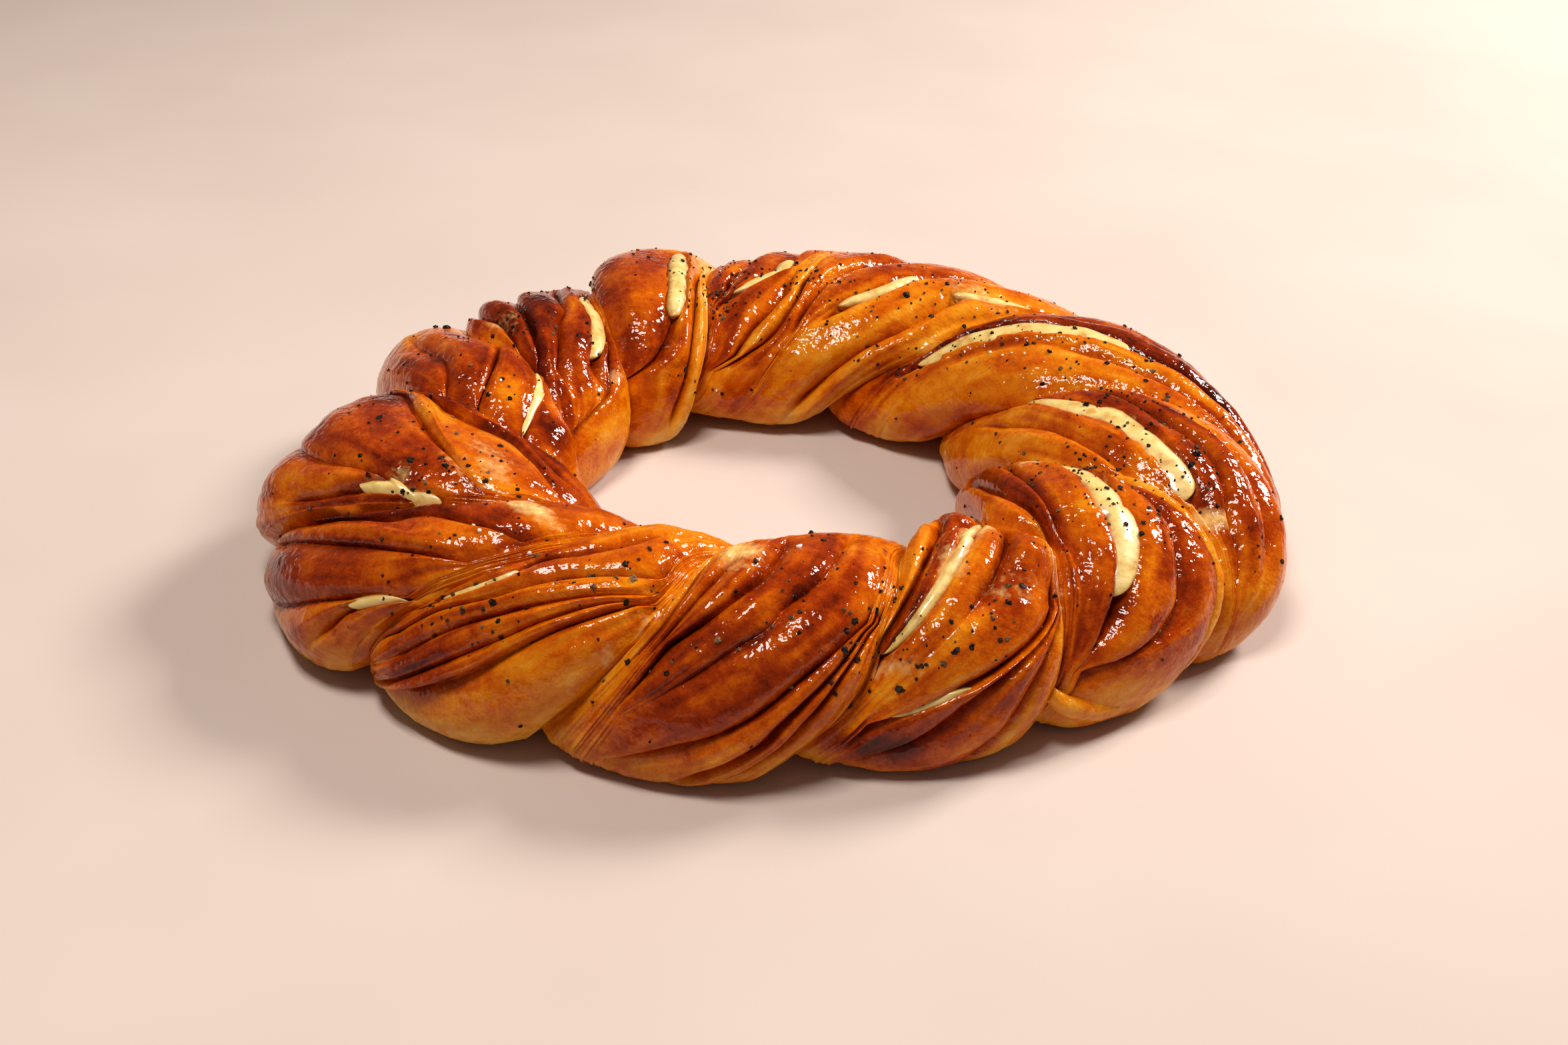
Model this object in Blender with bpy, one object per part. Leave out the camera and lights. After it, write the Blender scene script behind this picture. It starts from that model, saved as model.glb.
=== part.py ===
"""A kringle: two filled strands of dough twisted into a ring, baked and glazed.

The ring stands on z = 0. Azimuths run anticlockwise from +X seen from above; the section angle
psi runs from 213 (under the inner wall) over 90 (the crest) to -33 (under the outer wall).
Each lobe is one half turn of a strand. It starts low inside and ends low outside, further
clockwise. Sizes are millimetres until the meshes are made.
"""

import math

import bmesh
import bpy
import numpy as np

MM = 0.001
NAME = "kringle"

# The ring's envelope, every 20 degrees of azimuth from +X
OUTER = (142, 137, 128, 122, 118, 119, 122, 115, 130, 128, 152, 152, 144, 138, 135, 137, 141, 150)
INNER = (54, 50, 45, 40, 39, 39, 43, 47, 50, 55, 61, 67, 71, 71, 72, 70, 62, 57)
CREST = (45, 44.5, 43, 42.5, 42, 41.5, 41, 42, 45, 46, 45, 45.5, 46, 46.5, 46.5, 46.5, 46, 45)
CORE_Z = 14.0
SHIFT = (-1.0, 10.0)  # puts the middle of the bounding box on the origin

# The lobes
STATIONS = (205, 170, 140, 110, 80, 50, 20, -24)
ENDS = (213, -33)  # psi where a lobe starts and ends, just under the floor
DEEP = 15.0  # from the envelope to the middle of a lobe
UNDER = 5.0  # how far a lobe goes on below its middle
TILT = 3.0  # how far a lobe's sides dip under its neighbours
CORE_DEEP = 10.0
FULL = 0.93  # seam distance over lobe width
SQUARE = 0.85  # fuller than an ellipse below 1
TOE = 0.07  # share of the length that rounds off at each end
RIDGE = 0.58  # where between two creases a ply is highest
SEAMS = (  # azimuth of the seam after each lobe, at the stations
    (133, 124.5, 116, 111, 107.5, 103, 99, 95),
    (77, 60, 45, 40.5, 33.5, 27, 22, 16),
    (33, 17.5, 4.5, 1.5, -2, -9.5, -20, -27),
    (-3, -17, -24.5, -29, -30, -30.5, -33.5, -42),
    (-20, -36, -48, -54.5, -51.5, -55, -57.5, -62),
    (-47, -57, -64, -71, -74.5, -78.3, -81.5, -91),
    (-68, -80, -91, -100, -102.3, -105.3, -109.5, -117),
    (-90, -99, -110, -118, -123, -129.3, -134, -138),
    (-110, -120, -128.5, -133, -142.5, -151, -157, -164),
    (-138, -147, -157, -167.5, -173.5, -180, -186, -194),
    (-160, -169, -180.5, -191.5, -196, -205.5, -215, -222),
    (-203, -209, -214, -220, -226, -232, -237, -242),
)
LIFTS = (4.5, 2.0, 1.5, 2.0, 2.0, 1.0, 2.0, 1.0, 1.0, 3.0, 1.0, 2.0)
# Creases of each lobe, from the side of the next: depth, then psi with azimuth at points along it,
# and where it ends if its line goes on to keep the order
CREASES = (
    (
        (4, (183, 120, 95), (137, 116, 111)),
        (4, (155, 149, 141, 120, 90, 72), (148, 140, 133, 122.5, 114.2, 111.5)),
    ),
    (
        (3.4, (180, 147, 124, 100, 92, 84, 30), (79, 61, 51, 48, 47, 42, 27)),
        (3.4, (124, 103, 94, 60, 20), (73, 62, 60, 50, 43)),
        (3.2, (131, 88, 60, 20), (84, 75, 66, 58)),
        (3.6, (152, 146, 122, 102), (104, 98, 87, 84)),
        (3.2, (153, 133, 124, 104), (107.5, 99, 94, 86)),
        (4, (107, 92, 78, 60, 30), (103, 89.5, 78, 72, 68)),
        (2.6, (106, 98, 90, 80, 10), (107, 104, 103, 100, 88)),
    ),
    (
        (2.6, (96, 76, 62, 20), (11, 4.5, 1, -13)),
        (5.2, (147, 104, 81, 50, 20), (39, 24, 13, 4, -5)),
        (2.8, (112, 100, 60, 30), (35, 31.5, 15, 7)),
    ),
    (
        (2, (148, 137, 128, 98, 86), (-5, -12, -16, -26, -28.5)),
        (5.2, (136, 129, 124, 102, 62, 50), (1, -1, -5, -15, -27.3, -28.6)),
        (3.2, (100, 80, 71, 44.5, 20), (-4, -13.7, -16.3, -26.8, -31)),
        (1.6, (62, 38, 25), (-14, -22.5, -26)),
    ),
    (
        (3.2, (150, 130, 84), (-37, -44.5, -50.3)),
        (2.8, (134, 125, 88, 78), (-33, -37.5, -48, -49.3)),
        (5.2, (114, 104, 95, 52, 30), (-30, -34, -36, -46, -51.5)),
        (3.2, (88, 58, 37, 22, 16, 13, 11.5), (-32, -35.3, -40, -43.3, -46.5, -51, -56.5)),
    ),
    (
        (4, (130, 80, 50), (-60, -72, -77.5)),
        (4, (103, 95, 86, 40), (-58, -62, -65, -77.8)),
        (4, (94, 64, 20, 0), (-55.5, -64, -78, -82), 58),
        (2.8, (52, 40, 4), (-55.5, -59, -81)),
        (3.2, (42, 12.7, 5.5, -18), (-57.5, -69.5, -71.4, -83)),
        (2.8, (40, 18, -9, -18), (-57, -61.8, -66.4, -68.5)),
    ),
    (
        (2, (92, 52, 44), (-100, -103, -104.2)),
        (2.4, (90, 75, 47), (-96.5, -98.5, -102.3)),
        (3.2, (104, 80, 28), (-89.5, -92, -107)),
        (2, (114, 71, 63, 54, 45, 30), (-79, -86.4, -89, -90.7, -94, -99)),
        (2.4, (56, 32, 8, -6), (-79.5, -86.8, -95, -103)),
        (2.8, (53, 33.6, 10, 4.5, -14), (-79.8, -83.6, -89.5, -90.5, -97)),
        (2.8, (57, 15.5, -4.5, -18), (-79, -86, -90.5, -95.5)),
    ),
    (
        (2.6, (99, 86, 74, 67, 45), (-110, -114.5, -120.5, -121.5, -128.3)),
        (2, (84, 78, 70, 64, 50, 44, 20), (-102, -106, -114, -117, -123, -126, -132)),
        (2, (76, 72, 64, 40, 14), (-102, -103.5, -110, -122.5, -129.5)),
        (2, (71, 66, 62, 50, 34, -6), (-102.5, -104.5, -108, -114, -119.3, -131.5)),
        (2.8, (60, 50, 10, -12), (-107.5, -111.5, -123.5, -132)),
    ),
    (
        (4, (84, 79.5, 76, 63.5, 52, 30), (-124, -134, -137.6, -142.4, -148, -155)),
        (2.6, (64, 56, 45, 28, 15), (-128.5, -136, -143, -151, -155)),
        (2.6, (36, 28, -8), (-134, -137.5, -150)),
        (2.6, (42, 28, 8), (-131, -135.8, -139)),
    ),
    (
        (3.2, (140, 132, 122, 86), (-144, -154, -157.6, -171.5)),
        (2.8, (129, 126, 121, 114, 88), (-142, -149, -154, -158, -170)),
        (2.6, (100, 98.5, 96, 88, 80, 55), (-135.5, -146, -154, -164.5, -169.5, -177.5)),
        (2.4, (76, 72, 57, 30), (-147, -150.3, -157.6, -170)),
        (3.2, (92, 71, 45), (-139.5, -147.5, -154)),
    ),
    (
        (3.4, (138, 134.5, 132.5, 129, 121, 116), (-160, -166, -172, -178, -186.5, -188.5)),
        (2.6, (112, 103.5, 101.5, 99), (-166.5, -181.5, -186, -190)),
        (2, (92, 84, 56), (-172, -178, -190)),
    ),
    (
        (5.2, (159, 156.5, 148, 142, 135.5, 129, 120), (-184, -192, -201.5, -205, -209.7, -212, -215.5)),
        (4, (140, 136, 132, 127, 106, 92, 60), (-200, -202.3, -206, -209, -217.5, -220, -228)),
        (3.2, (134, 129, 126, 107, 100, 84, 55), (-190, -192, -195, -207, -211, -215.5, -222)),
        (3.2, (126, 122, 118.7, 112, 64, 45), (-187.5, -189, -192, -196, -212, -216)),
        (4, (127, 98.7, 91.3, 80.8, 50), (-185.5, -196.6, -199.2, -200.8, -207)),
    ),
)
# Bumps and dents: lobe, psi, azimuth, reach along and across in degrees, depth below the crust
DENTS = ((6, 108, -60.5, 6, 2.5, 5), (6, 74, -56, 10, 5, -3), (11, 150, -165, 10, 5, -3))
# The thin ply that wraps the foot of lobe 5: psi, azimuth and depth of its middle, and its radius
FOOT_PLY = (
    (92, -29.5, 7.0, 1.6), (80, -30.3, 6.0, 2.6), (60, -31.8, 5.0, 3.0), (40, -33.3, 4.5, 3.2),
    (20, -35, 4.0, 3.3), (5, -37.5, 3.5, 3.3), (-8, -41, 3.0, 3.3), (-13, -46, 2.5, 3.3),
    (-15, -50, 2.0, 3.2), (-12, -54.5, 2.0, 3.0), (-4, -58, 3.0, 2.6), (3, -59.5, 5.0, 1.8),
)
# Filling that shows: lobe, crease, psi where it starts and ends, half width
FILLINGS = (
    (1, 1, 127, 66, 3.2),
    (2, 5, 106, 80, 2.8),
    (2, 1, 121, 88, 2.4),
    (2, 0, 93, 72, 2.6),
    (3, 1, 146, 76, 4.8),
    (4, 1, 131, 61, 4.2),
    (5, 2, 111, 40, 4.0),
    (6, 1, 101, 40, 1.8),
    (6, 3, 20, 9, 1.8),
    (8, 0, 68, 46, 1.6),
    (9, 3, 39, 26, 1.7),
    (10, 4, 87, 66, 2.6),
    (11, 0, 136, 123, 2.6),
    (12, 1, 137, 78, 3.2),
)
GAP = 0.6
END_GAP = 1.0  # degrees of psi
# Cross-sections: share of the half width, and depth below the crust
STRIP_OUTLINE = (
    (-1, 1.7), (-0.5, 1.0), (0, 0.8), (0.5, 1.0), (1, 1.7), (0.8, 4.0), (0, 4.6), (-0.8, 4.0),
)
ROOM_OUTLINE = (
    (-1, -8), (-0.5, -8), (0, -8), (0.5, -8), (1, -8), (1, 4.4), (0, 5.0), (-1, 4.4),
)
SHORT = 0.12
ROWS = 17
FOOT_ROWS = 16
FILL_ROWS = 8
# Crushed pepper: psi, azimuth, how many
PEPPER = (
    (78, -40, 4), (103, -35, 2), (64, -42, 3), (97, -21.5, 3), (71, -23.5, 4), (58, -28, 3),
    (41, -19.5, 2), (27, -28, 2), (62, -60, 3), (51, -67, 3), (38, -68, 3), (28, -77, 4),
    (60, -77, 2), (46, -80, 4), (33, -83, 2), (64, -88, 2), (36, -103, 2), (75, -111, 2),
    (66, -111, 2), (50, -123, 3), (30, -133.5, 2), (98, -143, 5), (86, -145, 3), (86, -157, 2),
    (112, 109, 5), (160, 131, 2), (101, 84, 3), (105, 79, 3), (94, 54, 3), (156, 46, 2),
    (112, 19, 3), (77, 5, 3), (98, -8, 3), (121, -177, 3), (103, -169, 3), (131, -204, 3),
    (100, -198, 4), (85, 38, 3),
)
SEED = 7


def smooth(x, low, high):
    """0 below low and 1 above high, with a smooth step between."""
    u = np.clip((x - low) / (high - low), 0.0, 1.0)
    return u * u * (3.0 - 2.0 * u)


def through(psi, stations, values, beyond=0.0):
    """Values at psi on a smooth curve through the stations, which fall, and straight on beyond."""
    x = -np.asarray(stations, float)
    y = np.asarray(values, float)
    slope = np.gradient(y, x)
    wanted = -np.asarray(psi, float)
    p = np.clip(wanted, x[0], x[-1])
    straight = beyond * np.where(wanted < p, slope[0], slope[-1]) * (wanted - p)
    i = np.clip(np.searchsorted(x, p) - 1, 0, len(x) - 2)
    h = x[i + 1] - x[i]
    u = (p - x[i]) / h
    a = (1 + 2 * u) * (1 - u) ** 2 * y[i] + u * (1 - u) ** 2 * h * slope[i]
    return straight + a + u * u * (3 - 2 * u) * y[i + 1] + u * u * (u - 1) * h * slope[i + 1]


def around(values, azimuth):
    """Values at azimuths on a smooth closed curve through a table round the ring."""
    table = np.asarray(values, float)
    count = len(table)
    x = np.mod(azimuth, 360.0) / 360.0 * count
    i = np.floor(x).astype(int)
    u = x - i
    p0, p1, p2, p3 = (table[(i + k) % count] for k in (-1, 0, 1, 2))
    bend = 2 * p0 - 5 * p1 + 4 * p2 - p3 + u * (3 * (p1 - p2) + p3 - p0)
    return p1 + u * (p2 - p0 + u * bend) / 2


def envelope(azimuth, psi, depth=0.0):
    """Points at a depth below the ring's envelope."""
    azimuth, psi, depth = np.broadcast_arrays(azimuth, psi, depth)
    inner, outer = around(INNER, azimuth), around(OUTER, azimuth)
    a, p = np.radians(azimuth), np.radians(psi)
    r = (inner + outer) / 2 + ((outer - inner) / 2 - depth) * np.cos(p)
    z = CORE_Z + (around(CREST, azimuth) - CORE_Z - depth) * np.sin(p)
    return np.stack([r * np.cos(a), r * np.sin(a), z], -1)


def seams(lobe, psi):
    """Azimuth of the seams before and after a lobe, numbered from 1."""
    after = through(psi, STATIONS, SEAMS[lobe - 1])
    if lobe > 1:
        return through(psi, STATIONS, SEAMS[lobe - 2]), after
    return through(psi, STATIONS, SEAMS[-1]) + 360.0, after


def section(lobe, psi):
    """Azimuth of a lobe's middle, half its span and the rounding of its ends, along psi."""
    before, after = seams(lobe, psi)
    t = (ENDS[0] - psi) / (ENDS[0] - ENDS[1])
    ends = np.clip(np.minimum(t, 1 - t) / TOE, 0.0, 1.0)
    round_off = np.sqrt(np.clip(1 - (1 - ends) ** 2, 0.02, 1.0))
    return (before + after) / 2, (before - after) / 2 / FULL, round_off


def place(lobe, psi, theta, sink):
    """Points of a lobe at psi and section angle theta, sink below its smooth outline."""
    middle, half, ends = section(lobe, psi)
    c, s = np.cos(theta), np.sin(theta)
    across = np.sign(c) * np.abs(c) ** SQUARE * ends
    above = np.where(s > 0, DEEP, UNDER) * np.sign(s) * np.abs(s) ** SQUARE * ends
    tilt = TILT * across * (90 - psi) / 90
    depth = DEEP - LIFTS[lobe - 1] - above + tilt + sink
    return envelope(middle - half * across, psi, depth)


def turn_at(share):
    """Section angle at a share of the way from the seam after a lobe to the one before."""
    across = (1 - 2 * np.clip(share, 0.03, 0.97)) * FULL
    return np.arccos(np.sign(across) * np.abs(across) ** (1 / SQUARE))


def dent(lobe, psi, theta):
    """Extra depth of the bumps and dents."""
    middle, half, _ = section(lobe, psi)
    c = np.cos(theta)
    azimuth = middle - half * np.sign(c) * np.abs(c) ** SQUARE
    extra = np.zeros_like(azimuth)
    for where, p, a, along, across, depth in DENTS:
        if where == lobe:
            extra += depth * np.exp(-(((psi - p) / along) ** 2) - ((azimuth - a) / across) ** 2)
    return extra


def crease_lines(lobe, psi):
    """Section angle and depth of each crease of a lobe along psi, from the side of the next."""
    before, after = seams(lobe, psi)
    first = math.acos(FULL ** (1 / SQUARE))
    last = math.pi - first
    lines = [(np.full_like(psi, first), np.zeros_like(psi))]
    for depth, stations, azimuths, *stop in CREASES[lobe - 1]:
        azimuth = through(psi, stations, azimuths, 1.0)
        end = stop[0] if stop else stations[-1]
        inside = smooth(psi, end - 14, end + 4) * (1 - smooth(psi, stations[0] - 4, stations[0] + 14))
        lines.append((turn_at((azimuth - after) / (before - after)), depth * inside))
    lines.append((np.full_like(psi, last), np.zeros_like(psi)))
    count = len(lines) - 1
    for i in range(1, count):
        low = lines[i - 1][0] + 0.10
        high = last - 0.10 * (count - i)
        lines[i] = (np.clip(lines[i][0], low, high), lines[i][1])
    return lines


def ply_profile(u):
    """0 at both creases and 1 at the ridge."""
    side = np.where(u < RIDGE, (RIDGE - u) / RIDGE, (u - RIDGE) / (1 - RIDGE))
    return 1 - side**2.2


def crust_point(lobe, psi, theta):
    """Points on a lobe's plies at psi and section angle theta."""
    lines = crease_lines(lobe, psi)
    sink = np.zeros_like(psi)
    for (ta, da), (tb, db) in zip(lines[:-1], lines[1:]):
        u = (theta - ta) / (tb - ta)
        within = (u >= 0) & (u <= 1)
        share = np.clip(u, 0.0, 1.0)
        low = (da * (1 - share) + db * share) * (1 - ply_profile(share))
        sink = np.where(within, low, sink)
    return place(lobe, psi, theta, sink + dent(lobe, psi, theta))


def lobe_rings(lobe, rows):
    """Rings of points round a lobe, one per row, from the inner end to the outer."""
    psi = np.linspace(*ENDS, rows)
    lines = crease_lines(lobe, psi)
    columns = []
    for (ta, da), (tb, db) in zip(lines[:-1], lines[1:]):
        for u in (0.0, RIDGE):
            theta = ta + (tb - ta) * u
            sink = (da * (1 - u) + db * u) * (1 - ply_profile(np.float64(u)))
            columns.append(place(lobe, psi, theta, sink + dent(lobe, psi, theta)))
    columns.append(place(lobe, psi, *lines[-1]))
    for degrees in (180, 225, 270, 315, 360):
        columns.append(place(lobe, psi, math.radians(degrees), 0.0))
    return np.stack(columns, 1)


def foot_ply_rings(rows, sides):
    """Rings of points round the thin ply at the foot of lobe 5."""
    table = np.array(FOOT_PLY)
    steps = np.linspace(0, len(table) - 1, rows)
    psi, azimuth, depth, radius = (through(-steps, -np.arange(len(table)), c) for c in table.T)
    middle = envelope(azimuth, psi, depth)
    out = envelope(azimuth, psi, depth - 1.0) - middle
    run = np.gradient(middle, axis=0)
    side = np.cross(run, out)
    out /= np.linalg.norm(out, axis=1, keepdims=True)
    side /= np.linalg.norm(side, axis=1, keepdims=True)
    turn = np.linspace(0, 2 * math.pi, sides, endpoint=False)[None, :, None]
    ring = np.cos(turn) * out[:, None] + np.sin(turn) * side[:, None]
    return middle[:, None] + radius[:, None, None] * ring


def filling_rings(lobe, crease, start, end, half, room):
    """Rings of points round a strip of filling that lies in a crease, or round the room for it."""
    grow = GAP if room else 0.0
    t = np.linspace(-1, 1, FILL_ROWS)
    psi = (start + end) / 2 - (start - end) / 2 * np.sin(t * math.pi / 2)
    if room:
        psi[0] += END_GAP
        psi[-1] -= END_GAP
    theta, _ = crease_lines(lobe, psi)[crease + 1]
    line = place(lobe, psi, theta, 0.0)
    run = np.gradient(line, axis=0)
    beside = place(lobe, psi, theta + 0.02, 0.0) - line
    run /= np.linalg.norm(run, axis=1, keepdims=True)
    across = beside - (beside * run).sum(1, keepdims=True) * run
    step = 0.02 / np.linalg.norm(across, axis=1)
    wide = half * np.sqrt(np.clip(1 - (np.abs(t) * 0.97) ** 2.2, 0, 1)) + grow
    if room:
        outline = ROOM_OUTLINE
    else:
        outline = STRIP_OUTLINE
    columns = [place(lobe, psi, theta + share * wide * step, sink) for share, sink in outline]
    return np.stack(columns, 1)


def mesh_from_rings(name, rings, collection):
    """A closed solid from rings of points, capped at both ends."""
    rows, columns, _ = rings.shape
    shift = np.array((SHIFT[0], SHIFT[1], 0.0))
    spots = [tuple(v) for v in ((rings.reshape(-1, 3) + shift) * MM)]
    spots.append(tuple((rings[0].mean(0) + shift) * MM))
    spots.append(tuple((rings[-1].mean(0) + shift) * MM))
    faces = []
    for i in range(rows - 1):
        for j in range(columns):
            k = (j + 1) % columns
            a, b = i * columns + j, i * columns + k
            faces += [(a, a + columns, b + columns), (a, b + columns, b)]
    for j in range(columns):
        k = (j + 1) % columns
        faces.append((rows * columns, j, k))
        faces.append((rows * columns + 1, (rows - 1) * columns + k, (rows - 1) * columns + j))
    mesh = bpy.data.meshes.new(name)
    mesh.from_pydata(spots, [], faces)
    thing = bpy.data.objects.new(name, mesh)
    collection.objects.link(thing)
    face_out(thing)
    return thing


def face_out(thing):
    """Turns every face of a closed mesh outwards."""
    work = bmesh.new()
    work.from_mesh(thing.data)
    bmesh.ops.recalc_face_normals(work, faces=work.faces)
    if work.calc_volume(signed=True) < 0:
        bmesh.ops.reverse_faces(work, faces=work.faces)
    work.to_mesh(thing.data)
    work.free()


def core(collection):
    """The ring of dough inside the lobes."""
    azimuth = np.linspace(0, 360, 37)[:-1]
    psi = np.arange(0, 360, 36.0)
    spots = envelope(azimuth[:, None], psi[None, :], CORE_DEEP)
    rows, columns, _ = spots.shape
    shift = np.array((SHIFT[0], SHIFT[1], 0.0))
    points = [tuple(v) for v in ((spots.reshape(-1, 3) + shift) * MM)]
    faces = []
    for i in range(rows):
        for j in range(columns):
            n, k = (i + 1) % rows, (j + 1) % columns
            faces.append((i * columns + j, n * columns + j, n * columns + k, i * columns + k))
    mesh = bpy.data.meshes.new("dough")
    mesh.from_pydata(points, [], faces)
    thing = bpy.data.objects.new("dough", mesh)
    collection.objects.link(thing)
    face_out(thing)
    return thing


def block(name, collection):
    """A slab under z = 0 that cuts the underside flat."""
    mesh = bpy.data.meshes.new(name)
    work = bmesh.new()
    bmesh.ops.create_cube(work, size=1.0)
    bmesh.ops.scale(work, vec=(0.5, 0.5, 0.06), verts=work.verts)
    bmesh.ops.translate(work, vec=(0.0, 0.0, -0.03), verts=work.verts)
    work.to_mesh(mesh)
    work.free()
    thing = bpy.data.objects.new(name, mesh)
    collection.objects.link(thing)
    return thing


def join(target, operation, collection):
    """Joins a collection's solids to the target, or cuts them out, and applies it."""
    step = target.modifiers.new(operation, "BOOLEAN")
    step.operation = operation
    step.operand_type = "COLLECTION"
    step.collection = collection
    step.solver = "EXACT"
    bpy.context.view_layer.update()
    shape = target.evaluated_get(bpy.context.evaluated_depsgraph_get())
    result = bpy.data.meshes.new_from_object(shape)
    target.modifiers.remove(step)
    target.data = result
    for thing in list(collection.objects):
        bpy.data.objects.remove(thing)


def tidy(thing):
    """Drops loose scraps and sliver faces, and leaves triangles that face out."""
    work = bmesh.new()
    work.from_mesh(thing.data)
    bmesh.ops.triangulate(work, faces=work.faces)
    collapse_short(work)
    left = set(work.verts)
    groups = []
    while left:
        group, reached = set(), [left.pop()]
        while reached:
            v = reached.pop()
            group.add(v)
            near = [e.other_vert(v) for e in v.link_edges]
            reached += [w for w in near if w in left]
            left.difference_update(near)
        groups.append(group)
    groups.sort(key=len)
    for group in groups[:-1]:
        bmesh.ops.delete(work, geom=list(group), context="VERTS")
    bmesh.ops.recalc_face_normals(work, faces=work.faces)
    if work.calc_volume(signed=True) < 0:
        bmesh.ops.reverse_faces(work, faces=work.faces)
    rough = sum(1 for e in work.edges if len(e.link_faces) != 2)
    print(thing.name, "triangles", len(work.faces), "open edges", rough, "parts", len(groups))
    work.to_mesh(thing.data)
    work.free()


def collapse_short(work):
    """Collapses edges under SHORT where that leaves the surface closed."""
    for _ in range(4):
        done = set()
        short = sorted((e for e in work.edges if e.calc_length() < SHORT * MM),
                       key=lambda e: e.calc_length())
        chosen = []
        for e in short:
            a, b = e.verts
            near_a = {x.other_vert(a) for x in a.link_edges}
            near_b = {x.other_vert(b) for x in b.link_edges}
            ring = near_a | near_b
            if len(near_a & near_b) != 2 or done & ring:
                continue
            done |= ring
            chosen.append(e)
        if not chosen:
            return
        bmesh.ops.collapse(work, edges=chosen)


def grain(name, spot, sizes, seed, collection):
    """A crushed peppercorn: a rough chunk half sunk in the crust."""
    work = bmesh.new()
    bmesh.ops.create_icosphere(work, subdivisions=1, radius=1.0)
    rng = np.random.default_rng(seed)
    centre = [(spot[i] + (SHIFT[i] if i < 2 else 0.0)) * MM for i in range(3)]
    for v in work.verts:
        reach = rng.uniform(0.8, 1.1)
        v.co = [centre[i] + v.co[i] * reach * sizes[i] * MM for i in range(3)]
    mesh = bpy.data.meshes.new(name)
    work.to_mesh(mesh)
    work.free()
    thing = bpy.data.objects.new(name, mesh)
    collection.objects.link(thing)


def lobe_at(psi, azimuth):
    """The lobe that shows at a place on the ring, and the section angle there."""
    for lobe in range(1, 13):
        before, after = (edge[0] for edge in seams(lobe, np.array([psi])))
        for turn in (0, 360, -360):
            if after <= azimuth + turn < before:
                return lobe, turn_at((azimuth + turn - after) / (before - after))
    return None


def pepper(collection, blocked):
    """Grains over the crust, none of them near a strip of filling or each other."""
    rng = np.random.default_rng(SEED)
    made = []
    for psi, azimuth, count in PEPPER:
        for _ in range(count):
            at = psi + rng.normal(0, 5.0)
            where = lobe_at(at, azimuth + rng.normal(0, 2.5))
            size = rng.uniform(0.8, 1.25) * rng.uniform(0.8, 1.2, 3)
            if where is None:
                continue
            spot = crust_point(where[0], np.array([at]), np.array([where[1]]))[0]
            if min([np.linalg.norm(blocked - spot, axis=1).min()] +
                   [np.linalg.norm(spot - m) for m in made]) > 3.6 and spot[2] > 8:
                made.append(spot)
                grain(f"grain_{len(made)}", spot, size, len(made), collection)
    print("grains", len(made))


def material(name, colour, roughness):
    stuff = bpy.data.materials.new(name)
    stuff.use_nodes = True
    shader = stuff.node_tree.nodes["Principled BSDF"]
    shader.inputs["Base Color"].default_value = (*colour, 1.0)
    shader.inputs["Roughness"].default_value = roughness
    return stuff


def new_collection(name, cutter):
    made = bpy.data.collections.new(name)
    bpy.context.scene.collection.children.link(made)
    made.hide_render = cutter
    return made


def main():
    for thing in list(bpy.data.objects):
        bpy.data.objects.remove(thing)
    whole = new_collection(NAME, False)
    lobes = new_collection("lobes", True)
    cutters = new_collection("cutters", True)
    crust = material("baked_crust", (0.42, 0.13, 0.03), 0.3)
    custard = material("custard", (0.86, 0.66, 0.24), 0.4)
    dough = core(whole)
    for lobe in range(1, 13):
        mesh_from_rings(f"lobe_{lobe}", lobe_rings(lobe, ROWS), lobes)
    mesh_from_rings("foot_ply", foot_ply_rings(FOOT_ROWS, 8), lobes)
    join(dough, "UNION", lobes)
    block("floor_cut", cutters)
    join(dough, "DIFFERENCE", cutters)
    strips = []
    for number, (lobe, crease, start, end, half) in enumerate(FILLINGS, 1):
        strip = filling_rings(lobe, crease, start, end, half, False)
        strips.append(strip.reshape(-1, 3))
        thing = mesh_from_rings(f"filling_{number:02d}", strip, whole)
        thing.data.materials.append(custard)
        room = filling_rings(lobe, crease, start, end, half, True)
        mesh_from_rings(f"room_{number:02d}", room, cutters)
    join(dough, "DIFFERENCE", cutters)
    pepper(lobes, np.concatenate(strips))
    join(dough, "UNION", lobes)
    tidy(dough)
    dough.data.materials.clear()
    dough.data.materials.append(crust)


main()
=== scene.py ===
# %% [markdown]
# # A kringle, baked and glazed
#
# A kringle is a ring of filled dough. Two strands are rolled up with custard, twisted round each
# other and closed to a ring, then glazed and baked until the crust is amber to dark brown. What
# makes it look real is its relief: every half turn of a strand is a fat lobe, every lobe is rolled
# from thin plies, and the custard shows where a ply has pulled open.
#
# The solid parts come from the frame. This lesson puts the looks over them: finely modelled
# lobes, custard, pepper and salt, with their finishes, and then a floor, lights and a camera.

# %% Load the frame
import math

import bmesh
import bpy
import numpy as np
from mathutils import Matrix, Vector
from mathutils.bvhtree import BVHTree


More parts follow.
